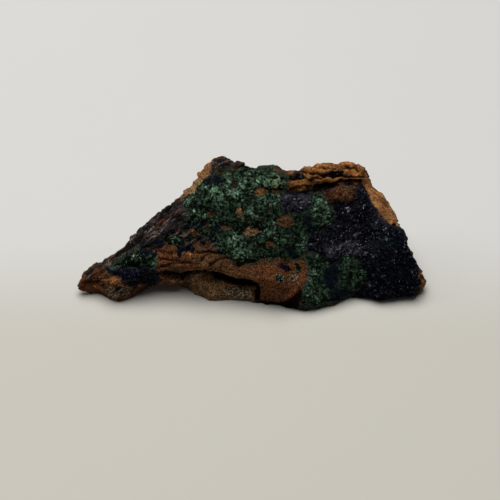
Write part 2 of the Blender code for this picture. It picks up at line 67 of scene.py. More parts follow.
# Rims of the mineral crusts.
AZURITE = [
    (16.2, 23.2), (20.0, 24.0), (23.8, 26.2), (23.0, 30.4), (26.2, 29.8), (29.8, 30.6),
    (30.8, 35.6), (32.0, 34.6), (33.2, 31.0), (35.2, 27.2), (38.0, 24.2), (42.2, 22.4), (43.8, 18.6),
    (46.6, 12.6), (47.4, 9.0), (46.6, 4.4), (38.0, 3.2), (27.6, 3.8), (31.0, 6.6), (33.4, 8.2),
    (32.2, 11.2), (29.6, 15.0), (26.0, 16.2), (23.6, 13.0), (21.4, 13.4), (19.2, 15.6), (15.6, 17.8),
]
AZURITE_MIDDLE = [
    (8.6, 33.4), (12.2, 33.0), (16.4, 33.2), (16.9, 30.8), (15.6, 28.4), (12.8, 27.6), (9.4, 28.2),
    (7.4, 30.6),
]
AZURITE_LEFT = [(-40.4, 11.6), (-34.0, 12.2), (-27.6, 12.6), (-27.0, 8.4), (-33.0, 7.2), (-37.0, 9.2)]
MALACHITE = [
    (-19.8, 30.4), (-14.8, 36.0), (-9.6, 39.2), (-2.5, 40.4), (6.6, 40.0), (9.8, 36.8), (8.0, 33.6),
    (7.2, 30.4), (9.4, 27.8), (13.0, 27.2), (16.0, 28.6), (17.0, 30.8), (16.8, 33.0), (19.2, 33.4),
    (21.2, 30.8), (23.2, 28.2), (22.4, 24.6), (17.8, 23.2), (15.2, 21.6), (15.1, 16.4), (11.0, 14.7),
    (2.5, 14.8), (-3.6, 13.7), (-9.0, 16.4), (-10.4, 20.0), (-14.6, 21.8), (-19.2, 23.4), (-17.8, 27.0),
]
MALACHITE_LOWER = [
    (15.2, 14.8), (19.0, 16.2), (21.8, 13.8), (24.2, 13.8), (25.8, 17.0), (29.6, 16.0), (32.6, 11.4),
    (33.8, 9.0), (31.6, 6.6), (27.2, 4.6), (23.8, 3.2), (19.0, 1.8), (12.8, 1.6), (14.6, 6.4), (16.6, 9.8),
]
MALACHITE_LEFT = [(-39.6, 12.8), (-36.4, 15.8), (-32.0, 17.0), (-27.8, 15.8), (-27.4, 12.8), (-34.0, 12.2)]

# Spots: across, up, then one radius or two.
MALACHITE_WINDOWS = [
    (9.4, 25.4, 2.4, 1.8), (2.2, 33.8, 1.8, 1.1), (-0.6, 22.6, 2.6, 1.0), (-3.7, 27.6, 0.8, 1.5),
    (-7.6, 23.6, 1.2, 0.6), (-13.8, 24.4, 1.8, 0.9), (4.7, 18.8, 1.3, 0.8), (-11.6, 27.4, 1.1, 0.5),
    (7.0, 34.0, 1.8, 0.5),
]
AZURITE_WINDOWS = [(34.4, 19.5, 1.1, 0.8), (28.5, 8.8, 1.0, 0.6)]
AZURITE_SPOTS = [
    (8.4, 12.9, 1.5, 0.7), (9.9, 12.0, 1.0, 0.6), (-19.5, 17.6, 1.5, 1.3), (-17.0, 17.8, 1.4, 1.2),
    (-20.4, 16.0, 0.9, 0.8), (-11.0, 20.9, 1.4, 1.2), (-14.2, 19.8, 1.0, 0.8), (-9.2, 17.4, 1.2, 1.0),
    (13.4, 38.2, 1.3, 1.1), (22.0, 38.6, 1.6, 0.7), (24.4, 39.4, 1.7, 0.8), (-30.2, 16.4, 3.0, 1.2),
    (-26.0, 19.2, 1.8, 1.0), (-22.6, 22.4, 1.6, 0.8), (31.4, 33.4, 1.2, 3.0), (-11.6, 37.4, 1.6, 0.9),
    (-14.6, 35.2, 1.1, 0.8), (19.6, 35.0, 2.0, 0.6), (23.6, 35.9, 2.4, 0.6), (27.6, 36.3, 1.8, 0.6),
    (-35.4, 10.6, 3.2, 1.4), (40.4, 24.6, 0.8, 0.6), (6.4, 29.4, 1.6, 1.0),
]
MALACHITE_SPOTS = [
    (7.4, 9.3, 1.5, 1.3), (-3.5, 14.0, 1.0, 0.9), (-0.4, 16.4, 2.5, 1.0), (-21.6, 20.0, 2.6, 1.5),
    (-17.8, 20.2, 1.4, 0.9), (-16.4, 24.8, 1.6, 0.9), (36.2, 20.2, 0.9, 0.6), (3.6, 41.8, 1.8, 0.8),
    (-3.6, 41.0, 2.4, 0.9), (12.2, 13.0, 0.9, 0.6), (-9.0, 40.0, 1.4, 0.8), (12.8, 12.0, 0.8, 1.2),
]

# Where malachite is bright green: across, up, half width, half height, strength. It is dim elsewhere.
BRIGHT_GREEN = [
    (-6.8, 34.2, 8.8, 4.4, 1.1), (3.4, 36.2, 7.6, 2.6, 1.1), (-16.6, 30.0, 3.2, 3.6, 0.8),
    (-5.0, 19.3, 3.4, 2.9, 1.0), (5.0, 31.2, 3.4, 2.4, 0.8), (20.0, 29.4, 3.4, 4.4, 0.75),
    (4.3, 23.5, 3.2, 2.6, 0.6), (13.8, 19.2, 2.0, 2.8, 0.7), (7.0, 20.6, 3.2, 2.0, 0.4),
    (-2.2, 16.4, 3.4, 1.4, 0.5), (-12.2, 26.4, 3.2, 2.2, 0.5), (0.0, 27.4, 3.2, 2.2, 0.6),
    (17.6, 12.4, 2.6, 2.4, 0.6), (26.4, 14.2, 1.7, 2.4, 0.3), (30.4, 10.4, 3.0, 1.8, 0.15),
    (15.6, 5.2, 3.4, 2.6, 0.55), (23.0, 4.8, 3.6, 1.6, 0.2), (-34.0, 14.8, 5.0, 1.7, 1.0),
    (-21.4, 20.0, 2.6, 1.6, 0.5), (7.4, 9.3, 2.4, 2.2, 1.0), (-3.6, 13.9, 1.2, 1.0, 0.7),
]
# Where it leans to yellow.
YELLOW_GREEN = [(7.4, 35.6, 3.6, 2.0, 1.0), (1.0, 39.6, 6.0, 1.2, 0.7), (-14.0, 33.0, 2.4, 1.6, 0.4)]
# Where malachite turns to a dark blue.
BLUE_IN_GREEN = [
    (-9.6, 23.4, 3.0, 1.4, 0.8), (-11.0, 36.8, 3.4, 1.2, 1.0), (6.6, 27.2, 2.0, 1.6, 0.5),
    (10.6, 17.0, 3.6, 2.0, 0.7), (25.4, 5.0, 4.4, 2.4, 1.0), (22.0, 9.8, 2.6, 3.8, 1.0),
    (-16.8, 24.0, 2.6, 1.2, 0.7), (-9.0, 17.0, 2.0, 1.2, 0.6), (15.6, 25.0, 1.8, 2.8, 0.9),
    (7.6, 33.2, 1.6, 0.9, 0.6),
]
# Where limonite shows through it.
EARTH_IN_GREEN = [
    (-5.3, 35.3, 1.2, 0.9, 1.0), (5.1, 28.0, 1.1, 0.8, 0.9), (-1.4, 30.4, 2.0, 1.2, 0.5),
    (2.6, 26.0, 1.6, 1.4, 0.6), (-12.4, 23.0, 1.4, 0.8, 0.7), (-6.0, 41.0, 3.4, 1.4, 0.9),
    (-1.2, 40.2, 1.0, 0.8, 0.8), (-9.2, 39.4, 3.6, 1.3, 1.0),
]
# Where azurite is paler, and where it leans to green.
PALE_BAND = [(25.0, 17.2, 5.5, 2.0, 1.0)]
TEAL_SPOT = [(38.5, 20.0, 3.2, 2.2, 0.7)]

BED_SLOPE = 0.85    # rise over run of the dark beds along the upper left edge
# Patches of colour on the limonite.
SLATE = [
    (-45.0, 14.4), (-40.0, 13.0), (-34.0, 16.2), (-27.5, 17.8), (-24.7, 19.4), (-21.0, 19.4), (-18.6, 17.4),
    (-15.5, 19.4), (-10.5, 19.8), (-8.5, 22.0), (-13.0, 26.0), (-16.0, 31.7), (-12.5, 37.2), (-8.4, 40.8),
    (-2.3, 40.2), (0.5, 46.0), (-12.0, 48.0), (-26.0, 34.0), (-40.0, 22.0),
]
TAN = [
    (-19.4, 31.0), (-22.0, 33.0), (-18.0, 42.0), (-11.0, 47.0), (-11.4, 41.6), (-13.4, 37.6), (-16.3, 32.7),
]
RUST = [
    (10.4, 39.0), (13.0, 46.0), (34.0, 46.0), (36.0, 39.5), (32.6, 36.2), (27.6, 36.6), (22.0, 35.8),
    (17.8, 34.8), (13.4, 34.2), (10.4, 35.2),
]
OCHRE = [
    (31.6, 38.4), (32.3, 33.0), (34.2, 30.2), (36.3, 27.6), (37.2, 25.2), (41.0, 23.8), (46.0, 24.0),
    (44.0, 34.0), (36.0, 40.0),
]
# The round knob under the cap: its middle, its two radii, and the patch that it shows.
KNOB_MIDDLE, KNOB_RADII = (25.7, 33.2), (4.6, 2.7)
KNOB = [(20.4, 33.2), (22.6, 35.2), (28.8, 35.6), (30.6, 32.6), (28.2, 30.2), (24.0, 29.8), (20.8, 31.0)]
LOBE = [
    (-29.0, 10.9), (-20.9, 11.1), (-14.0, 11.7), (-12.1, 12.0), (-9.7, 11.0), (-6.4, 9.9), (-3.0, 9.2),
    (-0.2, 8.9), (1.6, 7.8), (2.1, 6.4), (2.0, 3.0), (2.4, -3.0), (-24.0, -3.0),
]
BLUE_FOOT = [
    (15.0, 3.0), (24.0, 5.0), (34.0, 6.0), (46.4, 8.6), (45.6, 13.0), (43.0, 19.0), (41.0, 23.4),
    (43.0, 25.4), (47.0, 17.0), (50.0, 9.6), (47.6, 8.4), (48.2, 3.0), (40.0, -4.0), (10.0, -4.0), (8.0, 1.0),
]
ORANGE_SPOTS = [
    (-16.0, 22.1, 1.6, 1.3), (-18.1, 15.8, 1.2), (-38.4, 9.2, 2.8, 1.0), (14.2, 36.2, 3.0, 1.2),
    (48.3, 8.0, 2.2, 3.6), (-31.5, 8.0, 1.4), (-44.0, 6.6, 2.4, 0.8), (33.0, 40.6, 1.8, 1.2),
    (2.4, 34.0, 1.3, 0.7),
]
PALE_SPOTS = [(-0.6, 22.8, 2.8, 1.2), (-3.7, 27.9, 1.0, 1.6), (-22.0, 9.0, 2.0, 0.7)]
# Where pale grains show on the limonite.
GRAINY = [(-4.0, 4.8, 5.0, 2.2), (-38.4, 5.2, 3.4, 1.8), (11.6, 9.4, 1.6, 1.4)]
DARK_SPOTS = [
    (-46.1, 10.8, 1.3, 1.8), (-43.0, 12.8, 2.0, 0.9), (-36.6, 11.6, 1.6, 1.2), (12.6, 38.2, 2.4, 1.2),
    (34.2, 39.8, 1.5, 2.2), (-8.0, 42.0, 4.4, 2.4), (0.0, 40.6, 4.4, 1.2), (-12.0, 18.6, 2.6, 0.8),
    (-2.0, 15.6, 2.4, 0.7), (-42.0, 7.6, 1.0, 0.6), (-37.6, 6.0, 1.4, 0.8), (16.4, 37.2, 1.4, 0.6),
    (-21.4, 10.4, 4.2, 1.3), (23.4, 38.9, 2.8, 0.8), (18.0, 34.4, 3.2, 0.9), (-18.8, 32.0, 2.0, 1.6),
]
# Knobs that stand out of the face and, with a negative height, a worn place: across, up, radius, height.
BUMPS = [
    (-18.1, 15.7, 1.3, 0.8), (-16.0, 22.1, 1.5, 0.8), (-22.0, 9.4, 2.0, 0.6), (-41.0, 8.6, 2.2, 0.5),
    (-14.8, 40.4, 2.8, -1.6), (18.6, 41.4, 4.6, 0.7),
]

# Cracks in the limonite: half width, depth, line.
CRACKS = [
    (0.26, 0.60, [(-15.3, 16.8), (-12.6, 16.9), (-11.7, 16.4), (-9.2, 16.2), (-6.8, 16.3)]),
    (0.22, 0.50, [(-5.5, 15.1), (-7.3, 14.9), (-9.7, 14.8), (-10.8, 13.8), (-12.1, 13.2)]),
    (0.22, 0.45, [(-12.4, 15.9), (-13.9, 14.5), (-15.3, 13.5)]),
    (0.24, 0.50, [(-26.1, 12.4), (-23.9, 13.1), (-21.9, 13.8), (-19.2, 13.7), (-16.6, 13.1)]),
    (0.20, 0.40, [(-25.9, 14.7), (-24.1, 14.2), (-21.2, 14.7), (-19.7, 14.2)]),
    (0.24, 0.40, [(-26.8, 17.2), (-24.4, 16.4), (-22.4, 16.6)]),
    (0.28, 0.50, [(-5.0, 13.4), (-3.7, 12.9), (-2.6, 13.6), (0.3, 14.7), (1.4, 15.4)]),
    (0.35, 0.80, [(12.0, 40.0), (17.0, 38.8), (21.6, 38.2), (28.0, 38.6), (32.0, 38.2)]),
    (0.28, 0.65, [(16.0, 40.8), (22.0, 40.4), (26.6, 41.0), (30.6, 40.0)]),
    (0.26, 0.60, [(10.4, 37.6), (13.6, 37.8), (17.0, 37.4), (20.4, 37.3)]),
    (0.26, 0.50, [(10.4, 34.3), (11.8, 34.6), (16.1, 35.2), (18.1, 36.0)]),
    (0.30, 0.50, [(-1.0, 38.4), (4.0, 37.2), (9.0, 36.9)]),
    (0.26, 0.45, [(-3.0, 36.4), (3.0, 35.6), (8.0, 34.6)]),
    (0.30, 0.45, [(-48.0, 8.0), (-43.0, 8.6), (-38.6, 10.6)]),
    (0.24, 0.40, [(-45.0, 9.9), (-42.0, 11.2), (-39.8, 11.4)]),
]

SEAM = [(17.6, 35.4), (20.4, 35.8), (22.9, 35.9), (25.2, 36.8), (28.0, 37.1), (31.0, 36.8)]
# Painted shade: the hollow between the round end of the ledge and the lower malachite is painted black.
DEEP_SHADE = [
    (1.4, 3.5), (4.0, 3.0), (7.4, 2.9), (9.8, 3.6), (12.0, 5.4), (13.4, 7.2), (14.2, 5.6), (13.2, 2.4),
    (12.0, -4.0), (1.6, -4.0),
]


# ---- measures and noise

def step(low, high, value):
    """A soft step from 0 at low to 1 at high."""
    share = np.clip((value - low) / (high - low), 0, 1)
    return share * share * (3 - 2 * share)


def cloud(points, size, octaves=3, seed=0.0):
    """Fractal noise of about -1 to 1 at points in mm; its lumps are about size across."""
    places = (points / size + seed).tolist()
    return np.array([noise.fractal(place, 1.0, 2.0, octaves) for place in places])


def cells(points, size, seed=0.0):
    """Distance to the nearest seed of a random honeycomb and how much further the next one is."""
    places = (points / size + seed).tolist()
    near, following = np.array([noise.voronoi(place)[0][:2] for place in places]).T
    return near, following - near


def plates(points, tilt, long, short, seed=0.0):
    """Broken plates along a slope: a random level for each, -1 to 1, and how near its edge is."""
    across, up, out = points.T
    lean = math.atan(tilt)
    run = (across * math.cos(lean) + up * math.sin(lean)) / long
    rise = (up * math.cos(lean) - across * math.sin(lean)) / short
    found = [noise.voronoi(place) for place in (np.stack([run, rise, out / long], 1) + seed).tolist()]
    near, following = np.array([distances[:2] for distances, _ in found]).T
    middles = np.array([tuple(seeds[0]) for _, seeds in found])
    return np.sin(middles @ (127.1, 311.7, 74.7)), following - near


def line_distance(across, up, line):
    """Distance to an open line."""
    best = np.full(len(across), np.inf)
    for (x0, y0), (x1, y1) in zip(line, line[1:]):
        run, rise = x1 - x0, y1 - y0
        share = np.clip(((across - x0) * run + (up - y0) * rise) / (run**2 + rise**2), 0, 1)
        best = np.minimum(best, np.hypot(across - x0 - share * run, up - y0 - share * rise))
    return best


def edge_distance(across, up, outline):
    """Distance to a closed outline, positive inside it."""
    ends = outline[1:] + outline[:1]
    inside = np.zeros(len(across), bool)
    for (x0, y0), (x1, y1) in zip(outline, ends):
        if y0 != y1:
            crossing = (y0 > up) != (y1 > up)
            inside ^= crossing & (across < (x1 - x0) * (up - y0) / (y1 - y0) + x0)
    reach = line_distance(across, up, outline + outline[:1])
    return np.where(inside, reach, -reach)


def spot_glow(across, up, spots):
    """Strength of the strongest soft spot at each place."""
    reach = []
    for x, y, wide, high, level in spots:
        reach.append(level * np.exp(-(((across - x) / wide) ** 2) - ((up - y) / high) ** 2))
    return np.max(reach, axis=0)


class Ground:
    """Points of the rock's surface with their places on the display face, in mm."""

    def __init__(self, mesh):
        self.points = points_of(mesh) / MM + SEAT
        self.normals = normals_of(mesh)
        x, y, z = self.points.T
        self.across, self.up, self.out = x, y * SIN + z * COS, z * SIN - y * COS
        self.facing = self.normals @ OUT
        self.shown = step(-0.30, 0.05, self.facing)
        # Rims wander, so that no outline shows its corners.
        self.across_rim = self.across + 0.9 * cloud(self.points, 2.6, 3, 7.0)
        self.up_rim = self.up + 0.9 * cloud(self.points, 2.6, 3, 19.0)

    def rim(self, outline):
        return edge_distance(self.across_rim, self.up_rim, outline)

    def spots(self, places):
        """Distance to the ragged rim of the nearest spot, positive inside it; two radii make an oval."""
        across, up = (self.across + self.across_rim) / 2, (self.up + self.up_rim) / 2
        reach = []
        for x, y, *radii in places:
            wide, high = radii[0], radii[-1]
            reach.append(min(wide, high) * (1 - np.hypot((across - x) / wide, (up - y) / high)))
        ragged = 0.3 * cloud(self.points, 0.9, 2, 11.0) + 0.4 * cloud(self.points, 2.2, 2, 12.0)
        return np.max(reach, axis=0) + ragged

    def glow(self, places):
        return spot_glow(self.across_rim, self.up_rim, places)

    def patch(self, outline):
        """1 within the outline on the display face, with a soft rim."""
        return step(-0.6, 0.6, self.rim(outline)) * self.shown

    def line(self, line):
        return line_distance(self.across_rim, self.up_rim, line)


# ---- meshes

def points_of(mesh):
    found = np.empty(len(mesh.vertices) * 3)
    mesh.vertices.foreach_get("co", found)
    return found.reshape(-1, 3)


def normals_of(mesh):
    found = np.empty(len(mesh.vertices) * 3, np.float32)
    mesh.vertex_normals.foreach_get("vector", found)
    return found.reshape(-1, 3).astype(float)


def put_points(mesh, points):
    mesh.vertices.foreach_set("co", points.ravel())
    mesh.update()


def put_share(mesh, name, values):
    """Stores one number for each point, for the materials and the node trees to read."""
    held = mesh.attributes.get(name) or mesh.attributes.new(name, "FLOAT", "POINT")
    held.data.foreach_set("value", np.asarray(values, np.float32))


def share_of(mesh, name):
    found = np.empty(len(mesh.vertices), np.float32)
    mesh.attributes[name].data.foreach_get("value", found)
    return found.astype(float)


def new_piece(name, mesh):
    made = bpy.data.objects.new(name, mesh)
    bpy.context.scene.collection.objects.link(made)
    return made


def settle(piece):
    """Turns the modifiers into a plain mesh."""
    bpy.context.view_layer.update()
    graph = bpy.context.evaluated_depsgraph_get()
    mesh = bpy.data.meshes.new_from_object(piece.evaluated_get(graph), depsgraph=graph)
    piece.modifiers.clear()
    piece.data = mesh
    return piece


def weld(mesh):
    cage = bmesh.new()
    cage.from_mesh(mesh)
    bmesh.ops.remove_doubles(cage, verts=cage.verts, dist=1e-6)
    cage.to_mesh(mesh)
    cage.free()


# ---- node trees

def put(tree, socket, value):
    """Links a socket, or gives it a value or a colour."""
    if isinstance(value, bpy.types.NodeSocket):
        tree.links.new(value, socket)
    else:
        socket.default_value = (*value, 1) if socket.type == "RGBA" else value

def add_node(tree, kind, inputs=(), **settings):
    """A node with its settings and inputs; an input given as a socket is linked."""
    made = tree.nodes.new(kind)
    for name, value in settings.items():
        setattr(made, name, value)
    for name, value in dict(inputs).items():
        put(tree, made.inputs[name], value)
    return made

def toned(colour, share):
    """A colour times a share, or times one for each channel."""
    return tuple(np.minimum(np.array(colour[:]) * share, 1).tolist())

class Finish:
    """A material under construction, with short words for the nodes that it is made of."""

    def __init__(self, name):
        self.material = bpy.data.materials.new(name)
        self.material.use_nodes = True
        self.tree = self.material.node_tree
        self.shader = self.tree.nodes["Principled BSDF"]
        self.place = self.node("ShaderNodeTexCoord", output="Object")

    def node(self, kind, inputs=(), output=0, **settings):
        """What a new node gives out."""
        return add_node(self.tree, kind, inputs, **settings).outputs[output]

    def noise(self, size_mm, detail=4.0, roughness=0.55, stretch=(1, 1, 1), turn=(0, 0, 0)):
        """Cloudy noise whose lumps are about this size, from 0 to 1, longer one way when stretched."""
        inputs = {"Vector": self.place, "Scale": [size_mm * MM * s for s in stretch], "Rotation": turn}
        spread = self.node("ShaderNodeMapping", inputs, vector_type="TEXTURE")
        inputs = {"Vector": spread, "Scale": 1.0, "Detail": detail, "Roughness": roughness}
        return self.node("ShaderNodeTexNoise", inputs)

    def grains(self, size_mm):
        """A random level for each grain of this size."""
        inputs = {"Vector": self.place, "Scale": 1 / (size_mm * MM)}
        return self.node("ShaderNodeSeparateColor", {
            "Color": self.node("ShaderNodeTexVoronoi", inputs, "Color")})

    def share(self, name):
        return self.node("ShaderNodeAttribute", output="Fac", attribute_name=name)

    def maths(self, operation, *values):
        return self.node("ShaderNodeMath", enumerate(values), operation=operation)

    def times(self, first, second):
        return self.maths("MULTIPLY", first, second)

    def between(self, value, low, high, start=0.0, end=1.0):
        """The value's run from low to high turned into one from start to end, smoothly."""
        inputs = {"Value": value, "From Min": low, "From Max": high, "To Min": start, "To Max": end}
        return self.node("ShaderNodeMapRange", inputs, interpolation_type="SMOOTHSTEP")

    def blend(self, share, first, second):
        return self.node("ShaderNodeMix", {0: share, 6: first, 7: second}, 2, data_type="RGBA")

    def dim(self, colour, share):
        """The colour times the share."""
        return self.node("ShaderNodeVectorMath", {"Vector": colour, "Scale": share}, operation="SCALE")

    def ramp(self, value, *stops):
        """Colours at their places along the value."""
        made = add_node(self.tree, "ShaderNodeValToRGB", {"Fac": value})
        scale = made.color_ramp.elements
        while len(scale) < len(stops):
            scale.new(0.5)
        for knot, (place, colour) in zip(scale, stops):
            knot.position = place
            knot.color = (*colour, 1)
        return made.outputs[0]

    def bump(self, height, depth_mm, strength=1.0):
        inputs = {"Height": height, "Distance": depth_mm * MM, "Strength": strength}
        self.use(Normal=self.node("ShaderNodeBump", inputs))

    def use(self, **inputs):
        """Sets or links the shader's sockets; an underscore stands for a space."""
        for name, value in inputs.items():
            put(self.tree, self.shader.inputs[name.replace("_", " ")], value)

def along_bed(tilt):
    """Turns noise so that it stretches up the display face at this slope."""
    face = Matrix.Rotation(math.pi / 2 - FACE_LEAN, 3, "X") @ Matrix.Rotation(math.atan(tilt), 3, "Z")
    return face.to_euler("XYZ")[:]


def limonite_finish(colours):
    """Earthy iron oxide: brown grains, with rust, ochre, slate, grey, blue and green patches."""
    stone = Finish("earthy_limonite")
    fine = stone.noise(0.7, 5.0, 0.65)
    middle = stone.noise(3.2, 5.0, 0.6)
    wide = stone.noise(11.0, 3.0, 0.5)
    speck = stone.grains(0.42)
    mottle = stone.maths("MULTIPLY_ADD", middle, 0.6, stone.times(fine, 0.4))
    brown = colours.brown
    dark = toned(brown, (0.34, 0.26, 0.14))
    light = toned(brown, (2.1, 2.0, 1.9))
    colour = stone.ramp(mottle, (0.30, dark), (0.46, brown), (0.60, brown), (0.74, light))
    reddish = toned(brown, (1.15, 0.78, 0.62))
    colour = stone.blend(stone.between(wide, 0.42, 0.62, 0.0, 0.75), colour, reddish)
    patchy = stone.between(mottle, 0.34, 0.56, 0.35, 1.0)
    for name in ("rust", "ochre", "orange", "grey", "tan"):
        tint = getattr(colours, name)
        tinted = stone.ramp(mottle, (0.33, toned(tint, 0.30)), (0.48, tint), (0.66, toned(tint, 1.5)))
        colour = stone.blend(stone.times(stone.share(name), patchy), colour, tinted)
    striped = stone.between(stone.noise(0.8, 4.0, 0.6, (7, 1, 1), along_bed(-1.3)), 0.40, 0.60)
    striped = stone.times(stone.maths("SUBTRACT", 1.0, striped), stone.share("ochre"))
    colour = stone.blend(stone.times(striped, 0.55), colour, reddish)
    streaks = stone.noise(0.9, 5.0, 0.65, (6, 1, 1), along_bed(BED_SLOPE))
    black, grey = (toned(colours.slate, s) for s in (0.15, 4.0))
    slate = stone.ramp(streaks, (0.38, black), (0.49, colours.slate), (0.56, grey), (0.65, colours.streak))
    blotches = stone.noise(2.6, 4.0, 0.6, (2.5, 1, 1), along_bed(BED_SLOPE))
    slate = stone.blend(stone.between(blotches, 0.48, 0.42, 0.0, 0.8), slate, black)
    slate = stone.blend(stone.between(blotches, 0.53, 0.60, 0.0, 0.6), slate, reddish)
    pits = stone.between(speck, 0.90, 0.96, 0.0, 0.5)
    colour = stone.blend(pits, colour, toned(brown, 0.10))
    glints = stone.between(speck, 0.08, 0.04, 0.0, 0.5)
    colour = stone.blend(glints, colour, light)
    grainy = stone.share("grainy")
    colour = stone.blend(stone.times(grainy, 0.5), colour, dark)
    grains = stone.times(grainy, stone.between(speck, 0.42, 0.34))
    colour = stone.blend(grains, colour, colours.grain)
    colour = stone.blend(stone.share("slate"), colour, slate)
    for name, tint in (("blue", colours.blue_stain), ("green", colours.green_stain)):
        tinted = stone.blend(fine, toned(tint, 0.3), toned(tint, 1.6))
        colour = stone.blend(stone.share(name), colour, tinted)
    grit = stone.noise(0.30, 2.0, 0.6)
    even = stone.times(stone.maths("ADD", stone.share("ochre"), stone.share("rust")), 0.5)
    rough = stone.maths("SUBTRACT", 1.0, even)
    gritty = stone.times(stone.between(grit, 0.41, 0.59, 0.10, 2.10), rough)
    colour = stone.dim(colour, stone.maths("ADD", gritty, even))
    hollow = stone.share("hollow")
    # Painted shade: cracks, recesses and hollows are darkened almost to black.
    colour = stone.blend(hollow, colour, toned(brown, 0.03))
    open_to_light = stone.maths("SUBTRACT", 1.0, hollow)
    shine = stone.times(open_to_light, stone.between(fine, 0.35, 0.75, 0.05, 0.35))
    roughness = stone.between(fine, 0.3, 0.7, 0.95, 0.72)
    stone.use(Base_Color=colour, Roughness=roughness, Specular_IOR_Level=shine)
    height = stone.maths("MULTIPLY_ADD", fine, 0.6, stone.times(grit, 0.4))
    stone.bump(height, 0.34, 1.0)
    return stone.material


def azurite_finish(colours):
    """Near-black blue crystals, a few with bright faces; a band of them is paler, towards lavender."""
    crystal = Finish("crystal_azurite")
    tone = crystal.share("tone")
    grain = crystal.noise(1.1, 3.0, 0.6)
    mix = crystal.maths("MULTIPLY_ADD", tone, 0.55, crystal.times(grain, 0.45))
    deep, blue = colours.deep, colours.blue
    colour = crystal.ramp(mix, (0.35, deep), (0.60, blue), (0.80, toned(blue, 3.4)))
    for name, level, tint in (
        ("pale", crystal.between(tone, 0.25, 1.0), colours.lavender),
        ("vivid", crystal.between(tone, 0.1, 0.7), colours.vivid),
        ("teal", tone, colours.teal),
    ):
        colour = crystal.blend(crystal.times(crystal.share(name), level), colour, tint)
    dusty = crystal.between(crystal.noise(2.4, 4.0, 0.6), 0.60, 0.74, 0.0, 0.5)
    colour = crystal.blend(dusty, colour, colours.dust)
    shine = crystal.times(crystal.between(tone, 0.60, 1.0, 0.02, 0.90), crystal.share("gloss"))
    roughness = crystal.between(tone, 0.5, 1.0, 0.55, 0.28)
    crystal.use(Base_Color=colour, Roughness=roughness, IOR=1.78, Specular_IOR_Level=shine)
    crystal.bump(crystal.noise(0.35, 2.0), 0.04, 0.4)
    return crystal.material


def malachite_finish(colours):
    """Velvety green: pale needle ends over roots painted dark as shade, browner in patches and where limonite
    shows through.
    """
    velvet = Finish("velvet_malachite")
    tone = velvet.share("tone")
    fine = velvet.noise(0.5, 4.0, 0.65)
    tip = velvet.share("tip")
    mix = velvet.maths("MULTIPLY_ADD", tone, 0.30, velvet.times(velvet.share("bright"), 0.70))
    dark, green, pale = colours.dark, colours.green, colours.pale
    body = velvet.ramp(mix, (0.06, dark), (0.34, green), (0.74, pale))
    yellow = velvet.times(velvet.share("yellow"), velvet.between(mix, 0.2, 0.7))
    body = velvet.blend(yellow, body, colours.yellowish)
    body = velvet.blend(velvet.between(velvet.noise(0.36, 2.0, 0.6), 0.55, 0.43, 0.0, 0.9), body, dark)
    body = velvet.dim(body, velvet.between(tone, 0.20, 0.85, 0.20, 2.30))
    # Painted shade: needle roots and the gaps between lobes and along cracks take a near-black green.
    root = velvet.blend(fine, toned(dark, 0.15), dark)
    colour = velvet.blend(velvet.between(tip, 0.18, 0.72), root, body)
    blue = velvet.between(velvet.noise(2.0, 4.0, 0.6), 0.57, 0.67, 0.0, 0.8)
    blue = velvet.maths("MAXIMUM", blue, velvet.between(velvet.share("azure"), 0.25, 0.7, 0.0, 0.95))
    indigo = velvet.blend(tone, toned(colours.bluish, 0.3), colours.bluish)
    colour = velvet.blend(blue, colour, indigo)
    brown = velvet.between(velvet.noise(1.7, 4.0, 0.6), 0.41, 0.33, 0.0, 0.85)
    brown = velvet.maths("MAXIMUM", brown, velvet.between(velvet.share("earthy"), 0.3, 0.7, 0.0, 0.9))
    earth = velvet.blend(fine, toned(colours.earth, 0.2), colours.earth)
    colour = velvet.blend(brown, colour, earth)
    shine = velvet.between(tip, 0.3, 1.0, 0.0, 0.25)
    roughness = velvet.between(fine, 0.3, 0.7, 0.9, 0.6)
    velvet.use(Base_Color=colour, Roughness=roughness, Specular_IOR_Level=shine)
    velvet.bump(fine, 0.10, 0.6)
    return velvet.material


# ---- the rock

def bed_steps(level, pitch, height):
    """Broken beds: each rises slowly and drops at its edge."""
    share = np.mod(level / pitch, 1)
    return height * (share - step(0.86, 1.0, share) - 0.4)


def knob_polar(ground):
    """Distance from the middle of the knob, 1 at its rim, and the angle round it."""
    (x, y), (wide, high) = KNOB_MIDDLE, KNOB_RADII
    across, up = (ground.across - x) / wide, (ground.up - y) / high
    return np.hypot(across, up), np.arctan2(up, across)


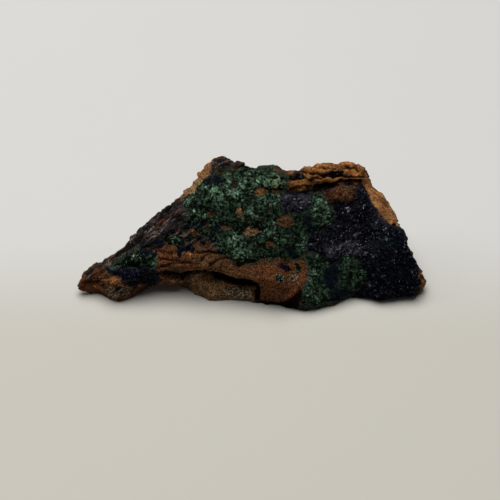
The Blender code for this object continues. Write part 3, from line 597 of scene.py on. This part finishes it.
def rock_masks(ground):
    """How much of each colour every point has."""
    shown, points = ground.shown, ground.points
    across, up = ground.across, ground.up
    hidden = 1 - shown
    cloud_small = cloud(points, 2.2, 3, 43.0)
    masks = {name: ground.patch(outline) for name, outline in
             (("slate", SLATE), ("tan", TAN), ("rust", RUST), ("ochre", OCHRE), ("grey", LOBE))}
    # Painted shade: the pale grey of the lobe fades out at its left, leaving darker brown where the lobe lies
    # in shade behind the arch.
    masks["grey"] *= 0.15 + 0.85 * step(-20.5, -17.0, across)
    masks["grainy"] = step(-0.8, 0.8, ground.spots(GRAINY)) * shown
    mottled = (0.25 + 0.75 * step(-0.35, 0.35, cloud(points, 1.1, 3, 45.0))) * shown
    pale = step(-0.4, 0.4, ground.spots(PALE_SPOTS)) * mottled
    masks["tan"] = np.maximum(masks["tan"] * step(-0.9, -0.4, cloud_small), pale)
    masks["orange"] = step(-0.5, 0.5, ground.spots(ORANGE_SPOTS)) * mottled
    masks["slate"] = np.clip(masks["slate"] - masks["tan"] - masks["orange"], 0, 1)
    foot = ground.patch(BLUE_FOOT) * step(-0.6, -0.1, cloud_small)
    near_azurite = np.max([ground.rim(o) for o in (AZURITE, AZURITE_MIDDLE, AZURITE_LEFT)], axis=0)
    masks["blue"] = np.maximum(foot, step(-1.3, -0.5, near_azurite) * shown)
    masks["blue"] *= 1 - masks["orange"]
    near_green = np.max([ground.rim(o) for o in (MALACHITE, MALACHITE_LOWER, MALACHITE_LEFT)], axis=0)
    masks["green"] = step(-1.2, -0.3, near_green) * shown * step(-0.6, 0.0, cloud_small)
    masks["green"] *= 1 - step(-0.4, 0.2, ground.spots(MALACHITE_WINDOWS)) * (0.4 + 0.6 * mottled)
    top_edge = step(38.8, 40.0, up) * step(11.0, 8.0, across) * step(-5.0, -2.0, across)
    masks["green"] = np.maximum(masks["green"], top_edge * step(-0.1, 0.4, cloud_small) * 0.8)
    for name, size, seed, low, high, level in (
        ("rust", 9.0, 31.0, 0.05, 0.5, 0.7),
        ("ochre", 6.0, 3.0, 0.30, 0.6, 0.6),
        ("slate", 7.0, 77.0, 0.15, 0.5, 0.8),
    ):
        behind = hidden * step(low, high, cloud(points, size, 3, seed)) * level
        masks[name] = np.maximum(masks[name], behind)
    dark = step(-0.4, 0.4, ground.spots(DARK_SPOTS)) * shown
    knob = ground.patch(KNOB) * step(0.35, 1.0, knob_polar(ground)[0] + 0.3 * cloud_small)
    masks["slate"] = np.maximum.reduce([masks["slate"], dark, 0.8 * knob])
    return masks


def rock_relief(ground, masks, settings):
    """Height of the rock's own roughness over its smooth form, and how shut in each point is, as painted
    shade for its cracks, recesses and low places.
    """
    points, shown = ground.points, ground.shown
    across, up = ground.across, ground.up
    middle = cloud(points, 1.5, 3, 5.0)
    plain = shown * (1 - masks["slate"]) * (1 - masks["rust"]) * (1 - masks["ochre"]) * (1 - masks["grey"])
    knob = ground.patch(KNOB)
    smooth = 0.5 * plain * (1 - knob) + 0.6 * masks["ochre"] * shown + 0.3 * masks["rust"] * shown
    lumps = settings.lumps * (1 - smooth)
    relief = lumps * (0.55 * cloud(points, 4.2, 3) + 0.34 * middle + 0.22 * cloud(points, 0.75, 2, 9.0))
    sway = 0.7 * cloud(points, 4.0, 2, 13.0)
    swayed = np.stack([across, up + 0.8 * sway, ground.out], 1)
    broken = 0.6 + 0.4 * cloud(points, 3.0, 2, 17.0)
    cut = np.zeros(len(points))
    for share, tilt, long, short, level, gap in (
        (masks["slate"] * shown, BED_SLOPE, 4.2, 0.85, 0.34, 0.40),
        (masks["rust"] * shown, 0.10, 4.4, 1.3, 0.26, 0.24),
        (plain, -0.30, 3.4, 0.9, 0.12, 0.14),
        (1 - shown, 0.15, 4.6, 1.5, 0.42, 0.30),
    ):
        height, apart = plates(swayed, tilt, long, short, long)
        relief += share * level * height
        cut = np.maximum(cut, share * gap * step(0.14, 0.02, apart))
    climb = (up - BED_SLOPE * across) / math.hypot(1, BED_SLOPE) + sway
    relief += bed_steps(climb, 1.9, 0.6) * masks["slate"] * shown * broken
    relief += bed_steps(up - 0.10 * across + sway, 3.0, 0.4) * masks["rust"] * shown
    along_edge = across - 0.62 * (43.0 - up) + 0.4 * sway
    relief += bed_steps(along_edge, 1.1, 0.14) * masks["ochre"] * shown
    relief -= 0.9 * ground.patch(TAN)
    level = points @ np.array([0.25, 0.35, 0.9]) + 1.6 * sway
    relief += (1 - shown) * (bed_steps(level, 2.6, 0.7) * broken + 0.35 * cloud(points, 2.4, 3, 23.0))
    near, _ = cells(points, 0.9, 2.0)
    relief += (masks["grey"] + 0.4 * (1 - shown)) * 0.30 * (0.5 - near)
    warts, warts_apart = cells(points, 1.5, 4.0)
    relief += knob * 0.3 * (0.6 - warts)
    cut = np.maximum(cut, knob * 0.35 * step(0.20, 0.04, warts_apart))
    reach, angle = knob_polar(ground)
    relief += 0.9 * np.sqrt(np.clip(1 - reach**2, 0, 1)) * shown
    relief += 0.22 * knob * np.sin(21 * angle) * step(0.35, 0.7, reach)
    for x, y, radius, height in BUMPS:
        away = np.hypot(ground.across_rim - x, ground.up_rim - y) / radius
        relief += height * np.exp(-(away**4)) * shown
    for half, depth, line in CRACKS:
        width = half * (1.35 + 0.5 * middle)
        cut = np.maximum(cut, 1.2 * depth * np.exp(-((ground.line(line) / width) ** 2)) * shown)
    cut = np.maximum(cut, 0.9 * np.exp(-((ground.line(SEAM) / 0.7) ** 2)) * shown)
    below_lip = edge_distance(across, up + 0.25 * middle, LOBE)
    band = 0.45 + 0.95 * step(-15.0, -11.0, across)
    recess = step(-0.10, 0.25, below_lip) * step(band + 0.5, band - 0.1, below_lip) * shown
    recess *= step(-28.0, -26.0, across)
    deep = step(-0.2, 0.5, edge_distance(across, up, DEEP_SHADE)) * step(-0.6, 0.0, ground.facing)
    # Painted shade: cracks, the recess under the ledge lip, the black hollow at the ledge end and the low
    # places of the roughness are darkened in colour.
    hollow = np.clip(1.3 * cut + step(-0.3, -0.7, middle) * 0.5 + 1.2 * recess + 0.95 * deep, 0, 0.97)
    return relief - cut - 1.1 * recess, hollow


def fine_rock(settings):
    """The rock's solid remade with small even faces, its facets smoothed and its surface roughened."""
    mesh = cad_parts["limonite_matrix"].data.copy()
    weld(mesh)
    mesh.materials.clear()
    rock = new_piece("limonite_rock", mesh)
    even = rock.modifiers.new("even", "REMESH")
    even.mode = "VOXEL"
    even.voxel_size = settings.voxel
    soften = rock.modifiers.new("soften", "SMOOTH")
    soften.factor = 0.5
    soften.iterations = settings.softening
    settle(rock)
    ground = Ground(rock.data)
    masks = rock_masks(ground)
    relief, hollow = rock_relief(ground, masks, settings)
    points = points_of(rock.data) + ground.normals * relief[:, None] * MM
    points[:, 2] = np.maximum(points[:, 2], 0)
    put_points(rock.data, points)
    for name, values in masks.items():
        put_share(rock.data, name, values)
    put_share(rock.data, "hollow", hollow)
    rock.data.shade_smooth()
    return rock


# ---- the crusts

AXES = ("nx", "ny", "nz")
SINK = 0.25    # how far a skin's inner side goes into the rock, in mm
OUTER_LEAST, INNER_LEAST = 0.3, 0.05    # least heights of its two sides over the floor, in mm


def largest_groups(faces, least):
    """The faces in groups of at least this many that are joined by their edges."""
    loose, kept = set(faces), set()
    while loose:
        group, todo = set(), [loose.pop()]
        while todo:
            face = todo.pop()
            group.add(face)
            near = {other for edge in face.edges for other in edge.link_faces} & loose
            loose -= near
            todo += near
        if len(group) >= least:
            kept |= group
    return kept


def without_pinches(faces, least):
    """Drops faces until no two parts of the sheet meet in a single corner."""
    faces = largest_groups(faces, least)
    while True:
        pinched = set()
        for vertex in {v for face in faces for v in face.verts}:
            rims = [edge for edge in vertex.link_edges if len(faces.intersection(edge.link_faces)) == 1]
            if len(rims) > 2:
                pinched |= faces.intersection(vertex.link_faces)
        if not pinched:
            return faces
        faces = largest_groups(faces - pinched, least)


def crust_sheet(name, rock, inside, least=12):
    """The rock's surface where inside is positive, doubled into a closed skin of no thickness yet.

    The share called cover is 1 on its outer side and 0 on its inner side.
    """
    cage = bmesh.new()
    cage.from_mesh(rock.data)
    cage.verts.ensure_lookup_table()
    kept = [face for face in cage.faces if min(inside[v.index] for v in face.verts) > 0]
    kept = without_pinches(kept, least)
    bmesh.ops.delete(cage, geom=[face for face in cage.faces if face not in kept], context="FACES")
    cover = cage.verts.layers.float.new("cover")
    made = bmesh.ops.extrude_face_region(cage, geom=cage.faces[:], use_keep_orig=True)["geom"]
    for item in made:
        if isinstance(item, bmesh.types.BMVert):
            item[cover] = 1.0
    bmesh.ops.recalc_face_normals(cage, faces=cage.faces)
    mesh = bpy.data.meshes.new(name)
    cage.to_mesh(mesh)
    cage.free()
    mesh.shade_smooth()
    return mesh


def grow(mesh, lift):
    """Lifts the outer side of a skin and sinks its inner side into the rock, both clear of the floor."""
    outer = share_of(mesh, "cover") > 0.5
    outward = np.stack([share_of(mesh, axis) for axis in AXES], 1)
    points = points_of(mesh) + outward * (np.where(outer, lift, -SINK) * MM)[:, None]
    points[:, 2] = np.maximum(points[:, 2], np.where(outer, OUTER_LEAST, INNER_LEAST) * MM)
    put_points(mesh, points)
    for axis in AXES:
        mesh.attributes.remove(mesh.attributes[axis])

def crust(name, rock, ground, inside, shape, shares, finish):
    """One mineral crust before its crystals: a skin from the rock, raised by its shape."""
    for axis, values in zip(AXES, ground.normals.T):
        put_share(rock.data, axis, values)
    put_share(rock.data, "inside", inside)
    mesh = crust_sheet(name, rock, inside)
    for held in (*AXES, "inside"):
        rock.data.attributes.remove(rock.data.attributes[held])
    own = Ground(mesh)
    depth = share_of(mesh, "inside")
    lift, tip = shape(own, depth)
    grow(mesh, lift)
    put_share(mesh, "tip", tip)
    put_share(mesh, "tone", 0.5 + 0.4 * cloud(own.points, 1.2, 2, 3.0))
    above_ground = points_of(mesh)[:, 2] / MM
    put_share(mesh, "vigour", step(0.0, 1.4, depth) * step(0.5, 5.0, above_ground))
    for share, values in shares(own).items():
        put_share(mesh, share, values)
    mesh.materials.append(finish)
    return new_piece(name, mesh)

def azurite_shape(ground, depth):
    """Low uneven hummocks."""
    lumps = 0.30 * cloud(ground.points, 3.4, 3, 51.0) + 0.16 * cloud(ground.points, 1.1, 2, 53.0)
    lift = 0.08 + 0.85 * step(0.0, 1.8, depth) + lumps * step(0.0, 1.0, depth)
    return np.maximum(lift, 0.05), np.ones(len(depth))


def azurite_film(ground, depth):
    """A thin dusting, for the small spots."""
    lift = 0.05 + 0.18 * step(0.0, 1.0, depth) + 0.12 * cloud(ground.points, 0.9, 2, 53.0)
    return np.maximum(lift, 0.03), np.ones(len(depth))


LOBE_SIZE = 3.2


def malachite_shape(ground, depth):
    """Low rounded lobes; the gaps between them and along cracks get no tips, so they take the dark root
    colour as painted shade.
    """
    near, apart = cells(ground.points, LOBE_SIZE, 61.0)
    small, small_apart = cells(ground.points, 1.4, 67.0)
    bright = ground.glow(BRIGHT_GREEN)
    lobes = (0.30 + 0.70 * bright) * np.sqrt(np.clip(1 - (near / 0.80) ** 2, 0, 1))
    lobes += 0.22 * np.sqrt(np.clip(1 - (small / 0.80) ** 2, 0, 1))
    lift = 0.04 + (0.08 + lobes) * step(0.0, 1.8, depth) + 0.12 * cloud(ground.points, 0.8, 2, 71.0)
    tip = 0.5 * step(0.02, 0.30, apart) * step(0.0, 0.20, small_apart) * step(0.10, 0.5, lobes)
    split = np.min([ground.line(line) / half for half, _, line in CRACKS], axis=0)
    whole = step(0.8, 2.4, split)
    return np.maximum(lift * (0.3 + 0.7 * whole), 0.03), tip * whole


def azurite_shares(ground):
    pale = spot_glow(ground.across, ground.up, PALE_BAND)
    pale = np.maximum(pale, 0.5 * step(-0.5, 1.0, ground.rim(AZURITE_MIDDLE)))
    pale *= 0.6 + 0.4 * cloud(ground.points, 1.6, 2, 91.0)
    teal = spot_glow(ground.across, ground.up, TEAL_SPOT)
    gloss = 0.25 + 0.75 * np.maximum(pale, step(8.0, 24.0, ground.up) * step(44.0, 34.0, ground.across))
    vivid = step(13.0, 8.0, ground.across) * step(0.0, 0.5, cloud(ground.points, 1.8, 2, 95.0))
    vivid *= 0.4 + 0.6 * step(-28.0, -26.0, ground.across)
    return {"pale": pale, "teal": teal, "vivid": vivid, "gloss": gloss}


def malachite_shares(ground):
    bright = ground.glow(BRIGHT_GREEN)
    azure = ground.glow(BLUE_IN_GREEN)
    yellow = ground.glow(YELLOW_GREEN)
    patchy = step(-0.5, 0.4, cloud(ground.points, 1.6, 3, 81.0))
    near, apart = cells(ground.points, LOBE_SIZE, 61.0)
    # Painted shade, over a random mottle: the bright green keeps to the middles of the lobes and fades where
    # they meet.
    patchy *= step(0.0, 0.35, apart) * step(0.95, 0.35, near)
    earthy = ground.glow(EARTH_IN_GREEN)
    return {"bright": bright * (0.35 + 0.65 * patchy), "azure": azure, "yellow": yellow, "earthy": earthy}


# ---- crystals by Geometry Nodes

def crystal_mesh():
    """A bladed crystal with a chisel end, standing on its root, one unit high."""
    cage = bmesh.new()
    rings = ((0.20, 0.11, -0.25), (0.24, 0.13, 0.30), (0.20, 0.11, 0.72))
    for wide, deep, level in rings:
        for x, y in ((wide, 0), (0, deep), (-wide, 0), (0, -deep)):
            cage.verts.new((x, y, level))
    for x in (0.07, -0.10):
        cage.verts.new((x, 0.0, 1.0))
    bmesh.ops.convex_hull(cage, input=cage.verts)
    return cage_to_mesh(cage, "azurite_crystal")


NEEDLES = 9
GOLDEN_TURN = math.pi * (3 - math.sqrt(5))


def tuft_mesh():
    """A sheaf of fine needles that spread from one root, about one unit high."""
    cage = bmesh.new()
    ends = cage.verts.layers.float.new("tip")
    for index in range(NEEDLES):
        # The first needle is upright; the others stand round it in two rings.
        lean = (0.0, 0.38, 0.80)[(index > 0) + (index > NEEDLES // 3)]
        turn = index * GOLDEN_TURN
        tip = Vector((math.sin(lean) * math.cos(turn), math.sin(lean) * math.sin(turn), math.cos(lean)))
        tip *= 0.86 + 0.14 * math.sin(5.0 * index)
        root = Vector((tip.x * 0.15, tip.y * 0.15, -0.3))
        spin = (tip - root).to_track_quat("Z", "Y")
        long = (tip - root).length
        made = bmesh.ops.create_cone(cage, segments=3, radius1=0.11, radius2=0.0, depth=long, cap_ends=True)
        for vertex in made["verts"]:
            vertex[ends] = vertex.co.z / long + 0.5
            vertex.co.z += long / 2
            vertex.co = spin @ vertex.co + root
    return cage_to_mesh(cage, "malachite_tuft")


def cage_to_mesh(cage, name):
    bmesh.ops.recalc_face_normals(cage, faces=cage.faces)
    mesh = bpy.data.meshes.new(name)
    cage.to_mesh(mesh)
    cage.free()
    return mesh


SCATTER_INPUTS = {
    "Geometry": "Geometry", "Crystal": "Object", "Spacing": "Float", "Least": "Float", "Most": "Float",
    "Lean": "Float", "Seed": "Int", "Finish": "Material",
}
DENSEST = 2.0e7    # crystals to a square metre, more than their spacing lets stand

def scatter_tree():
    """Sets copies of one crystal all over the covered side of a crust."""
    tree = bpy.data.node_groups.new("set_crystals", "GeometryNodeTree")
    for name, kind in SCATTER_INPUTS.items():
        tree.interface.new_socket(name, in_out="INPUT", socket_type="NodeSocket" + kind)
    tree.interface.new_socket("Geometry", in_out="OUTPUT", socket_type="NodeSocketGeometry")
    given = tree.nodes.new("NodeGroupInput").outputs
    result = tree.nodes.new("NodeGroupOutput")

    def node(kind, inputs, output=0, **settings):
        return add_node(tree, kind, inputs, **settings).outputs[output]

    def named(name):
        return node("GeometryNodeInputNamedAttribute", {"Name": name}, "Attribute", data_type="FLOAT")

    seed = {"Seed": given["Seed"]}
    covered = node("FunctionNodeCompare", {"A": named("cover"), "B": 0.9}, data_type="FLOAT",
                   operation="GREATER_THAN")
    spread = add_node(tree, "GeometryNodeDistributePointsOnFaces", {
        "Mesh": given["Geometry"], "Selection": covered, "Distance Min": given["Spacing"],
        "Density Max": DENSEST, **seed}, distribute_method="POISSON")
    tone = node("FunctionNodeRandomValue", seed, 1, data_type="FLOAT")
    points = node("GeometryNodeStoreNamedAttribute", {
        "Geometry": spread.outputs["Points"], "Name": "tone", "Value": tone},
        data_type="FLOAT", domain="POINT")
    leaning = node("ShaderNodeCombineXYZ", {"X": given["Lean"], "Y": given["Lean"], "Z": math.pi})
    other_way = node("ShaderNodeVectorMath", {0: leaning, 1: (-1.0, -1.0, -1.0)}, operation="MULTIPLY")
    turn = node("FunctionNodeRandomValue", {"Min": other_way, "Max": leaning, **seed},
                data_type="FLOAT_VECTOR")
    turned = node("FunctionNodeEulerToRotation", {"Euler": turn})
    rotation = node("FunctionNodeRotateRotation", {
        "Rotation": spread.outputs["Rotation"], "Rotate By": turned}, rotation_space="LOCAL")
    size = node("FunctionNodeRandomValue", {2: given["Least"], 3: given["Most"], **seed}, 1,
                data_type="FLOAT")
    vigour = node("ShaderNodeMath", {0: named("vigour"), 1: 0.65, 2: 0.35}, operation="MULTIPLY_ADD")
    scaled = node("ShaderNodeMath", {0: size, 1: vigour}, operation="MULTIPLY")
    model = node("GeometryNodeObjectInfo", {"Object": given["Crystal"]}, "Geometry")
    placed = node("GeometryNodeInstanceOnPoints", {
        "Points": points, "Instance": model, "Rotation": rotation, "Scale": scaled})
    real = node("GeometryNodeRealizeInstances", {"Geometry": placed})
    painted = node("GeometryNodeSetMaterial", {"Geometry": real, "Material": given["Finish"]})
    joined = add_node(tree, "GeometryNodeJoinGeometry")
    for part in (painted, given["Geometry"]):
        tree.links.new(part, joined.inputs[0])
    tree.links.new(joined.outputs[0], result.inputs[0])
    return tree

def scatter_on(piece, tree, values):
    """Sets the crystals and turns the result into a plain mesh."""
    grown = piece.modifiers.new("crystals", "NODES")
    grown.node_group = tree
    sockets = {item.name: item.identifier for item in tree.interface.items_tree if item.in_out == "INPUT"}
    for name, value in values.items():
        grown[sockets[name]] = value
    settle(piece)

# ---- settings

def length(name, text, default):
    return FloatProperty(name=name, description=text, default=default, min=0.0, unit="LENGTH", precision=5)


def tint(name, text, default):
    return FloatVectorProperty(name=name, description=text, default=default, size=3, subtype="COLOR",
                               min=0.0, max=1.0)


class RockSettings(bpy.types.PropertyGroup):
    voxel: length("Face size", "Size of the rock's small even faces", 0.00036)
    softening: IntProperty(name="Softening", description="Passes that smooth the solid's facets", default=5)
    lumps: FloatProperty(name="Lumps", description="Height of the roughness in millimetres", default=0.55)
    brown: tint("Brown", "Limonite itself", (0.074, 0.032, 0.0110))
    rust: tint("Rust", "The cap along the top right", (0.30, 0.122, 0.034))
    ochre: tint("Ochre", "The facet that turns away on the right", (0.335, 0.156, 0.050))
    orange: tint("Orange", "Small fresh patches", (0.21, 0.085, 0.020))
    tan: tint("Tan", "The strip beside the peak", (0.215, 0.120, 0.054))
    grey: tint("Grey", "The set-back lobe under the ledge", (0.135, 0.074, 0.032))
    slate: tint("Slate", "Dark beds along the upper left edge", (0.0095, 0.0080, 0.0084))
    streak: tint("Streak", "Pale lines along those beds", (0.150, 0.112, 0.090))
    grain: tint("Grain", "Pale grains low on the front", (0.190, 0.160, 0.112))
    blue_stain: tint("Blue stain", "Rock stained by azurite", (0.0055, 0.0062, 0.0130))
    green_stain: tint("Green stain", "Rock stained by malachite", (0.017, 0.032, 0.020))


class AzuriteSettings(bpy.types.PropertyGroup):
    spacing: length("Spacing", "Least distance between crystals", 0.00024)
    least: length("Least height", "Height of the smallest crystals", 0.00026)
    most: length("Most height", "Height of the largest crystals", 0.00070)
    lean: FloatProperty(name="Lean", description="How far crystals lean", default=0.95, subtype="ANGLE")
    seed: IntProperty(name="Seed", description="Changes where the crystals stand", default=4)
    deep: tint("Deep", "The darkest crystals", (0.0009, 0.0010, 0.0018))
    blue: tint("Blue", "Most crystals", (0.0036, 0.0042, 0.0090))
    lavender: tint("Lavender", "The pale band", (0.230, 0.226, 0.300))
    vivid: tint("Vivid", "Small patches on the left", (0.0065, 0.0075, 0.0260))
    teal: tint("Teal", "The greener spot", (0.006, 0.020, 0.028))
    dust: tint("Dust", "Brown dust between crystals", (0.010, 0.0085, 0.008))


class MalachiteSettings(bpy.types.PropertyGroup):
    spacing: length("Spacing", "Least distance between tufts", 0.00037)
    least: length("Least height", "Height of the smallest tufts", 0.00038)
    most: length("Most height", "Height of the largest tufts", 0.00090)
    lean: FloatProperty(name="Lean", description="How far tufts lean", default=0.5, subtype="ANGLE")
    seed: IntProperty(name="Seed", description="Changes where the tufts stand", default=9)
    dark: tint("Dark", "Dark green", (0.0044, 0.0085, 0.0048))
    green: tint("Green", "Most tufts", (0.112, 0.204, 0.121))
    pale: tint("Pale", "The palest tufts", (0.500, 0.800, 0.570))
    yellowish: tint("Yellowish", "Where it leans to yellow", (0.400, 0.500, 0.270))
    bluish: tint("Bluish", "Where azurite shows through", (0.008, 0.013, 0.026))
    earth: tint("Earth", "Where limonite shows through", (0.050, 0.030, 0.016))


class StudioSettings(bpy.types.PropertyGroup):
    distance: length("Distance", "From the camera to the middle of the display face", 0.42)
    width: length("View width", "What the picture spans there", 0.1399)
    floor: tint("Floor", "Pale floor", (0.605, 0.602, 0.588))
    # Painted shade: a darker, warmer floor colour in front of the specimen.
    shaded_near_floor: tint("Near floor", "The floor in front of the specimen", (0.52, 0.50, 0.45))


class SpecimenSettings(bpy.types.PropertyGroup):
    rock: PointerProperty(type=RockSettings)
    azurite: PointerProperty(type=AzuriteSettings)
    malachite: PointerProperty(type=MalachiteSettings)
    studio: PointerProperty(type=StudioSettings)


# ---- operators

TURNED_AWAY = 0.1    # the share of a normal along the face's own below which no crust grows

def grow_mineral(settings, model, finish, shapes, windows, crusts):
    """Grows a mineral on the rock: crusts in place of their solids, with windows in them, and spots."""
    rock = bpy.data.objects.get("limonite_rock")
    if rock is None:
        raise RuntimeError("Make the rock first")
    ground = Ground(rock.data)
    tree = bpy.data.node_groups.get("set_crystals") or scatter_tree()
    model.hide_render = True
    values = {"Crystal": model, "Finish": finish}
    for name in ("Spacing", "Least", "Most", "Lean", "Seed"):
        values[name] = getattr(settings, name.lower())
    crust_shape, spot_shape, shares = shapes
    whole = -ground.spots(windows)
    for name, node, places in crusts:
        inside = np.minimum(ground.rim(places), whole) if node else ground.spots(places)
        inside = np.where(ground.facing > TURNED_AWAY, inside, -1.0)
        shape = crust_shape if node else spot_shape
        piece = crust(name, rock, ground, inside, shape, shares, finish)
        scatter_on(piece, tree, values)
        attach(piece, "root")
        if node:
            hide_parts(node)
    return {"FINISHED"}

class SPECIMEN_OT_rock(bpy.types.Operator):
    """Make the limonite rock"""

    bl_idname = "specimen.rock"
    bl_label = "Limonite rock"

    def execute(self, context):
        settings = context.scene.specimen.rock
        rock = fine_rock(settings)
        rock.data.materials.append(limonite_finish(settings))
        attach(rock, "root")
        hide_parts("limonite_matrix")
        return {"FINISHED"}


class SPECIMEN_OT_azurite(bpy.types.Operator):
    """Grow the azurite druse"""

    bl_idname = "specimen.azurite"
    bl_label = "Azurite"

    def execute(self, context):
        settings = context.scene.specimen.azurite
        model = bpy.data.objects.get("azurite_crystal") or new_piece("azurite_crystal", crystal_mesh())
        finish = bpy.data.materials.get("crystal_azurite") or azurite_finish(settings)
        shapes = (azurite_shape, azurite_film, azurite_shares)
        return grow_mineral(settings, model, finish, shapes, AZURITE_WINDOWS, (
            ("azurite_druse", "azurite_crust", AZURITE),
            ("azurite_druse_middle", "azurite_patch_middle", AZURITE_MIDDLE),
            ("azurite_druse_left", "azurite_patch_left", AZURITE_LEFT),
            ("azurite_spots", None, AZURITE_SPOTS),
        ))

class SPECIMEN_OT_malachite(bpy.types.Operator):
    """Grow the malachite velvet"""

    bl_idname = "specimen.malachite"
    bl_label = "Malachite"

    def execute(self, context):
        settings = context.scene.specimen.malachite
        model = bpy.data.objects.get("malachite_tuft") or new_piece("malachite_tuft", tuft_mesh())
        finish = bpy.data.materials.get("velvet_malachite") or malachite_finish(settings)
        shapes = (malachite_shape, malachite_shape, malachite_shares)
        return grow_mineral(settings, model, finish, shapes, MALACHITE_WINDOWS, (
            ("malachite_velvet", "malachite_crust", MALACHITE),
            ("malachite_velvet_lower", "malachite_crust_lower", MALACHITE_LOWER),
            ("malachite_velvet_left", "malachite_patch_left", MALACHITE_LEFT),
            ("malachite_spots", None, MALACHITE_SPOTS),
        ))

class SPECIMEN_OT_stage(bpy.types.Operator):
    """Set the floor, the light and the camera"""

    bl_idname = "specimen.stage"
    bl_label = "Stage"

    def execute(self, context):
        settings = context.scene.specimen.studio
        lay_floor(settings)
        hang_lights()
        set_camera(settings)
        for name in ("azurite_crystal", "malachite_tuft"):
            if name in bpy.data.objects:
                bpy.data.objects.remove(bpy.data.objects[name])
        context.scene.view_settings.view_transform = "Standard"
        return {"FINISHED"}


# ---- stage

def lay_floor(settings):
    cage = bmesh.new()
    bmesh.ops.create_grid(cage, x_segments=1, y_segments=1, size=3.0)
    floor = new_piece("floor", cage_to_mesh(cage, "floor"))
    paper = Finish("pale_floor")
    cloudy = paper.noise(60.0, 3.0)
    tones = [toned(settings.floor, s) for s in (0.985, 1.01)]
    depth = paper.node("ShaderNodeSeparateXYZ", {"Vector": paper.place}, "Y")
    # Painted shade: the floor darkens and warms towards the front.
    near = paper.between(depth, 0.02, -0.03)
    colour = paper.blend(near, paper.blend(cloudy, *tones), settings.shaded_near_floor)
    paper.use(Base_Color=colour, Roughness=0.7)
    floor.data.materials.append(paper.material)


LIGHTS = (
    # name, place, aim, size, power, colour
    ("overhead", (-0.10, 0.18, 0.98), (0.0, 0.0, 0.0), 1.0, 13.6, (1.0, 0.99, 0.965)),
    ("left", (-0.9, 0.1, 0.6), (0.0, 0.0, 0.01), 0.4, 1.0, (1.0, 1.0, 1.0)),
)

ROOM_COLOUR, ROOM_STRENGTH = (0.95, 0.97, 1.0, 1), 0.065

def hang_lights():
    for name, place, aim, size, power, colour in LIGHTS:
        lamp = bpy.data.lights.new(name, "AREA")
        lamp.size = size
        lamp.energy = power
        lamp.color = colour
        hung = bpy.data.objects.new(name, lamp)
        hung.location = place
        hung.rotation_euler = (Vector(aim) - Vector(place)).to_track_quat("-Z", "Y").to_euler()
        bpy.context.scene.collection.objects.link(hung)
    world = bpy.data.worlds.new("room")
    world.use_nodes = True
    glow = world.node_tree.nodes["Background"]
    glow.inputs["Color"].default_value = ROOM_COLOUR
    glow.inputs["Strength"].default_value = ROOM_STRENGTH
    bpy.context.scene.world = world


def set_camera(settings):
    """Square to the display face, as it leans."""
    aim_across, aim_up, aim_out = -0.72, 17.35, 3.0
    aim = np.array([aim_across, aim_up * SIN - aim_out * COS, aim_up * COS + aim_out * SIN]) - SEAT
    lens = bpy.data.cameras.new("camera")
    lens.lens_unit = "FOV"
    lens.angle = 2 * math.atan(settings.width / 2 / settings.distance)
    camera = bpy.data.objects.new("camera", lens)
    camera.location = Vector(aim * MM) + Vector(OUT) * settings.distance
    camera.rotation_euler = (-Vector(OUT)).to_track_quat("-Z", "Y").to_euler()
    bpy.context.scene.collection.objects.link(camera)
    bpy.context.scene.camera = camera


class SPECIMEN_PT_panel(bpy.types.Panel):
    """Lists the pieces of the specimen and their settings"""

    bl_idname = "SPECIMEN_PT_panel"
    bl_label = "Azurite specimen"
    bl_space_type = "VIEW_3D"
    bl_region_type = "UI"
    bl_category = "Specimen"

    def draw(self, context):
        for made, group in (
            (SPECIMEN_OT_rock, "rock"), (SPECIMEN_OT_azurite, "azurite"),
            (SPECIMEN_OT_malachite, "malachite"), (SPECIMEN_OT_stage, "studio"),
        ):
            box = self.layout.box()
            box.operator(made.bl_idname)
            settings = getattr(context.scene.specimen, group)
            for name in settings.__annotations__:
                box.prop(settings, name)


CLASSES = (
    RockSettings, AzuriteSettings, MalachiteSettings, StudioSettings, SpecimenSettings,
    SPECIMEN_OT_rock, SPECIMEN_OT_azurite, SPECIMEN_OT_malachite, SPECIMEN_OT_stage, SPECIMEN_PT_panel,
)


def register():
    for each in CLASSES:
        bpy.utils.register_class(each)
    bpy.types.Scene.specimen = PointerProperty(type=SpecimenSettings)


def unregister():
    del bpy.types.Scene.specimen
    for each in reversed(CLASSES):
        bpy.utils.unregister_class(each)


def main():
    register()
    bpy.ops.specimen.rock()
    bpy.ops.specimen.azurite()
    bpy.ops.specimen.malachite()
    bpy.ops.specimen.stage()


if __name__ == "__main__":
    main()
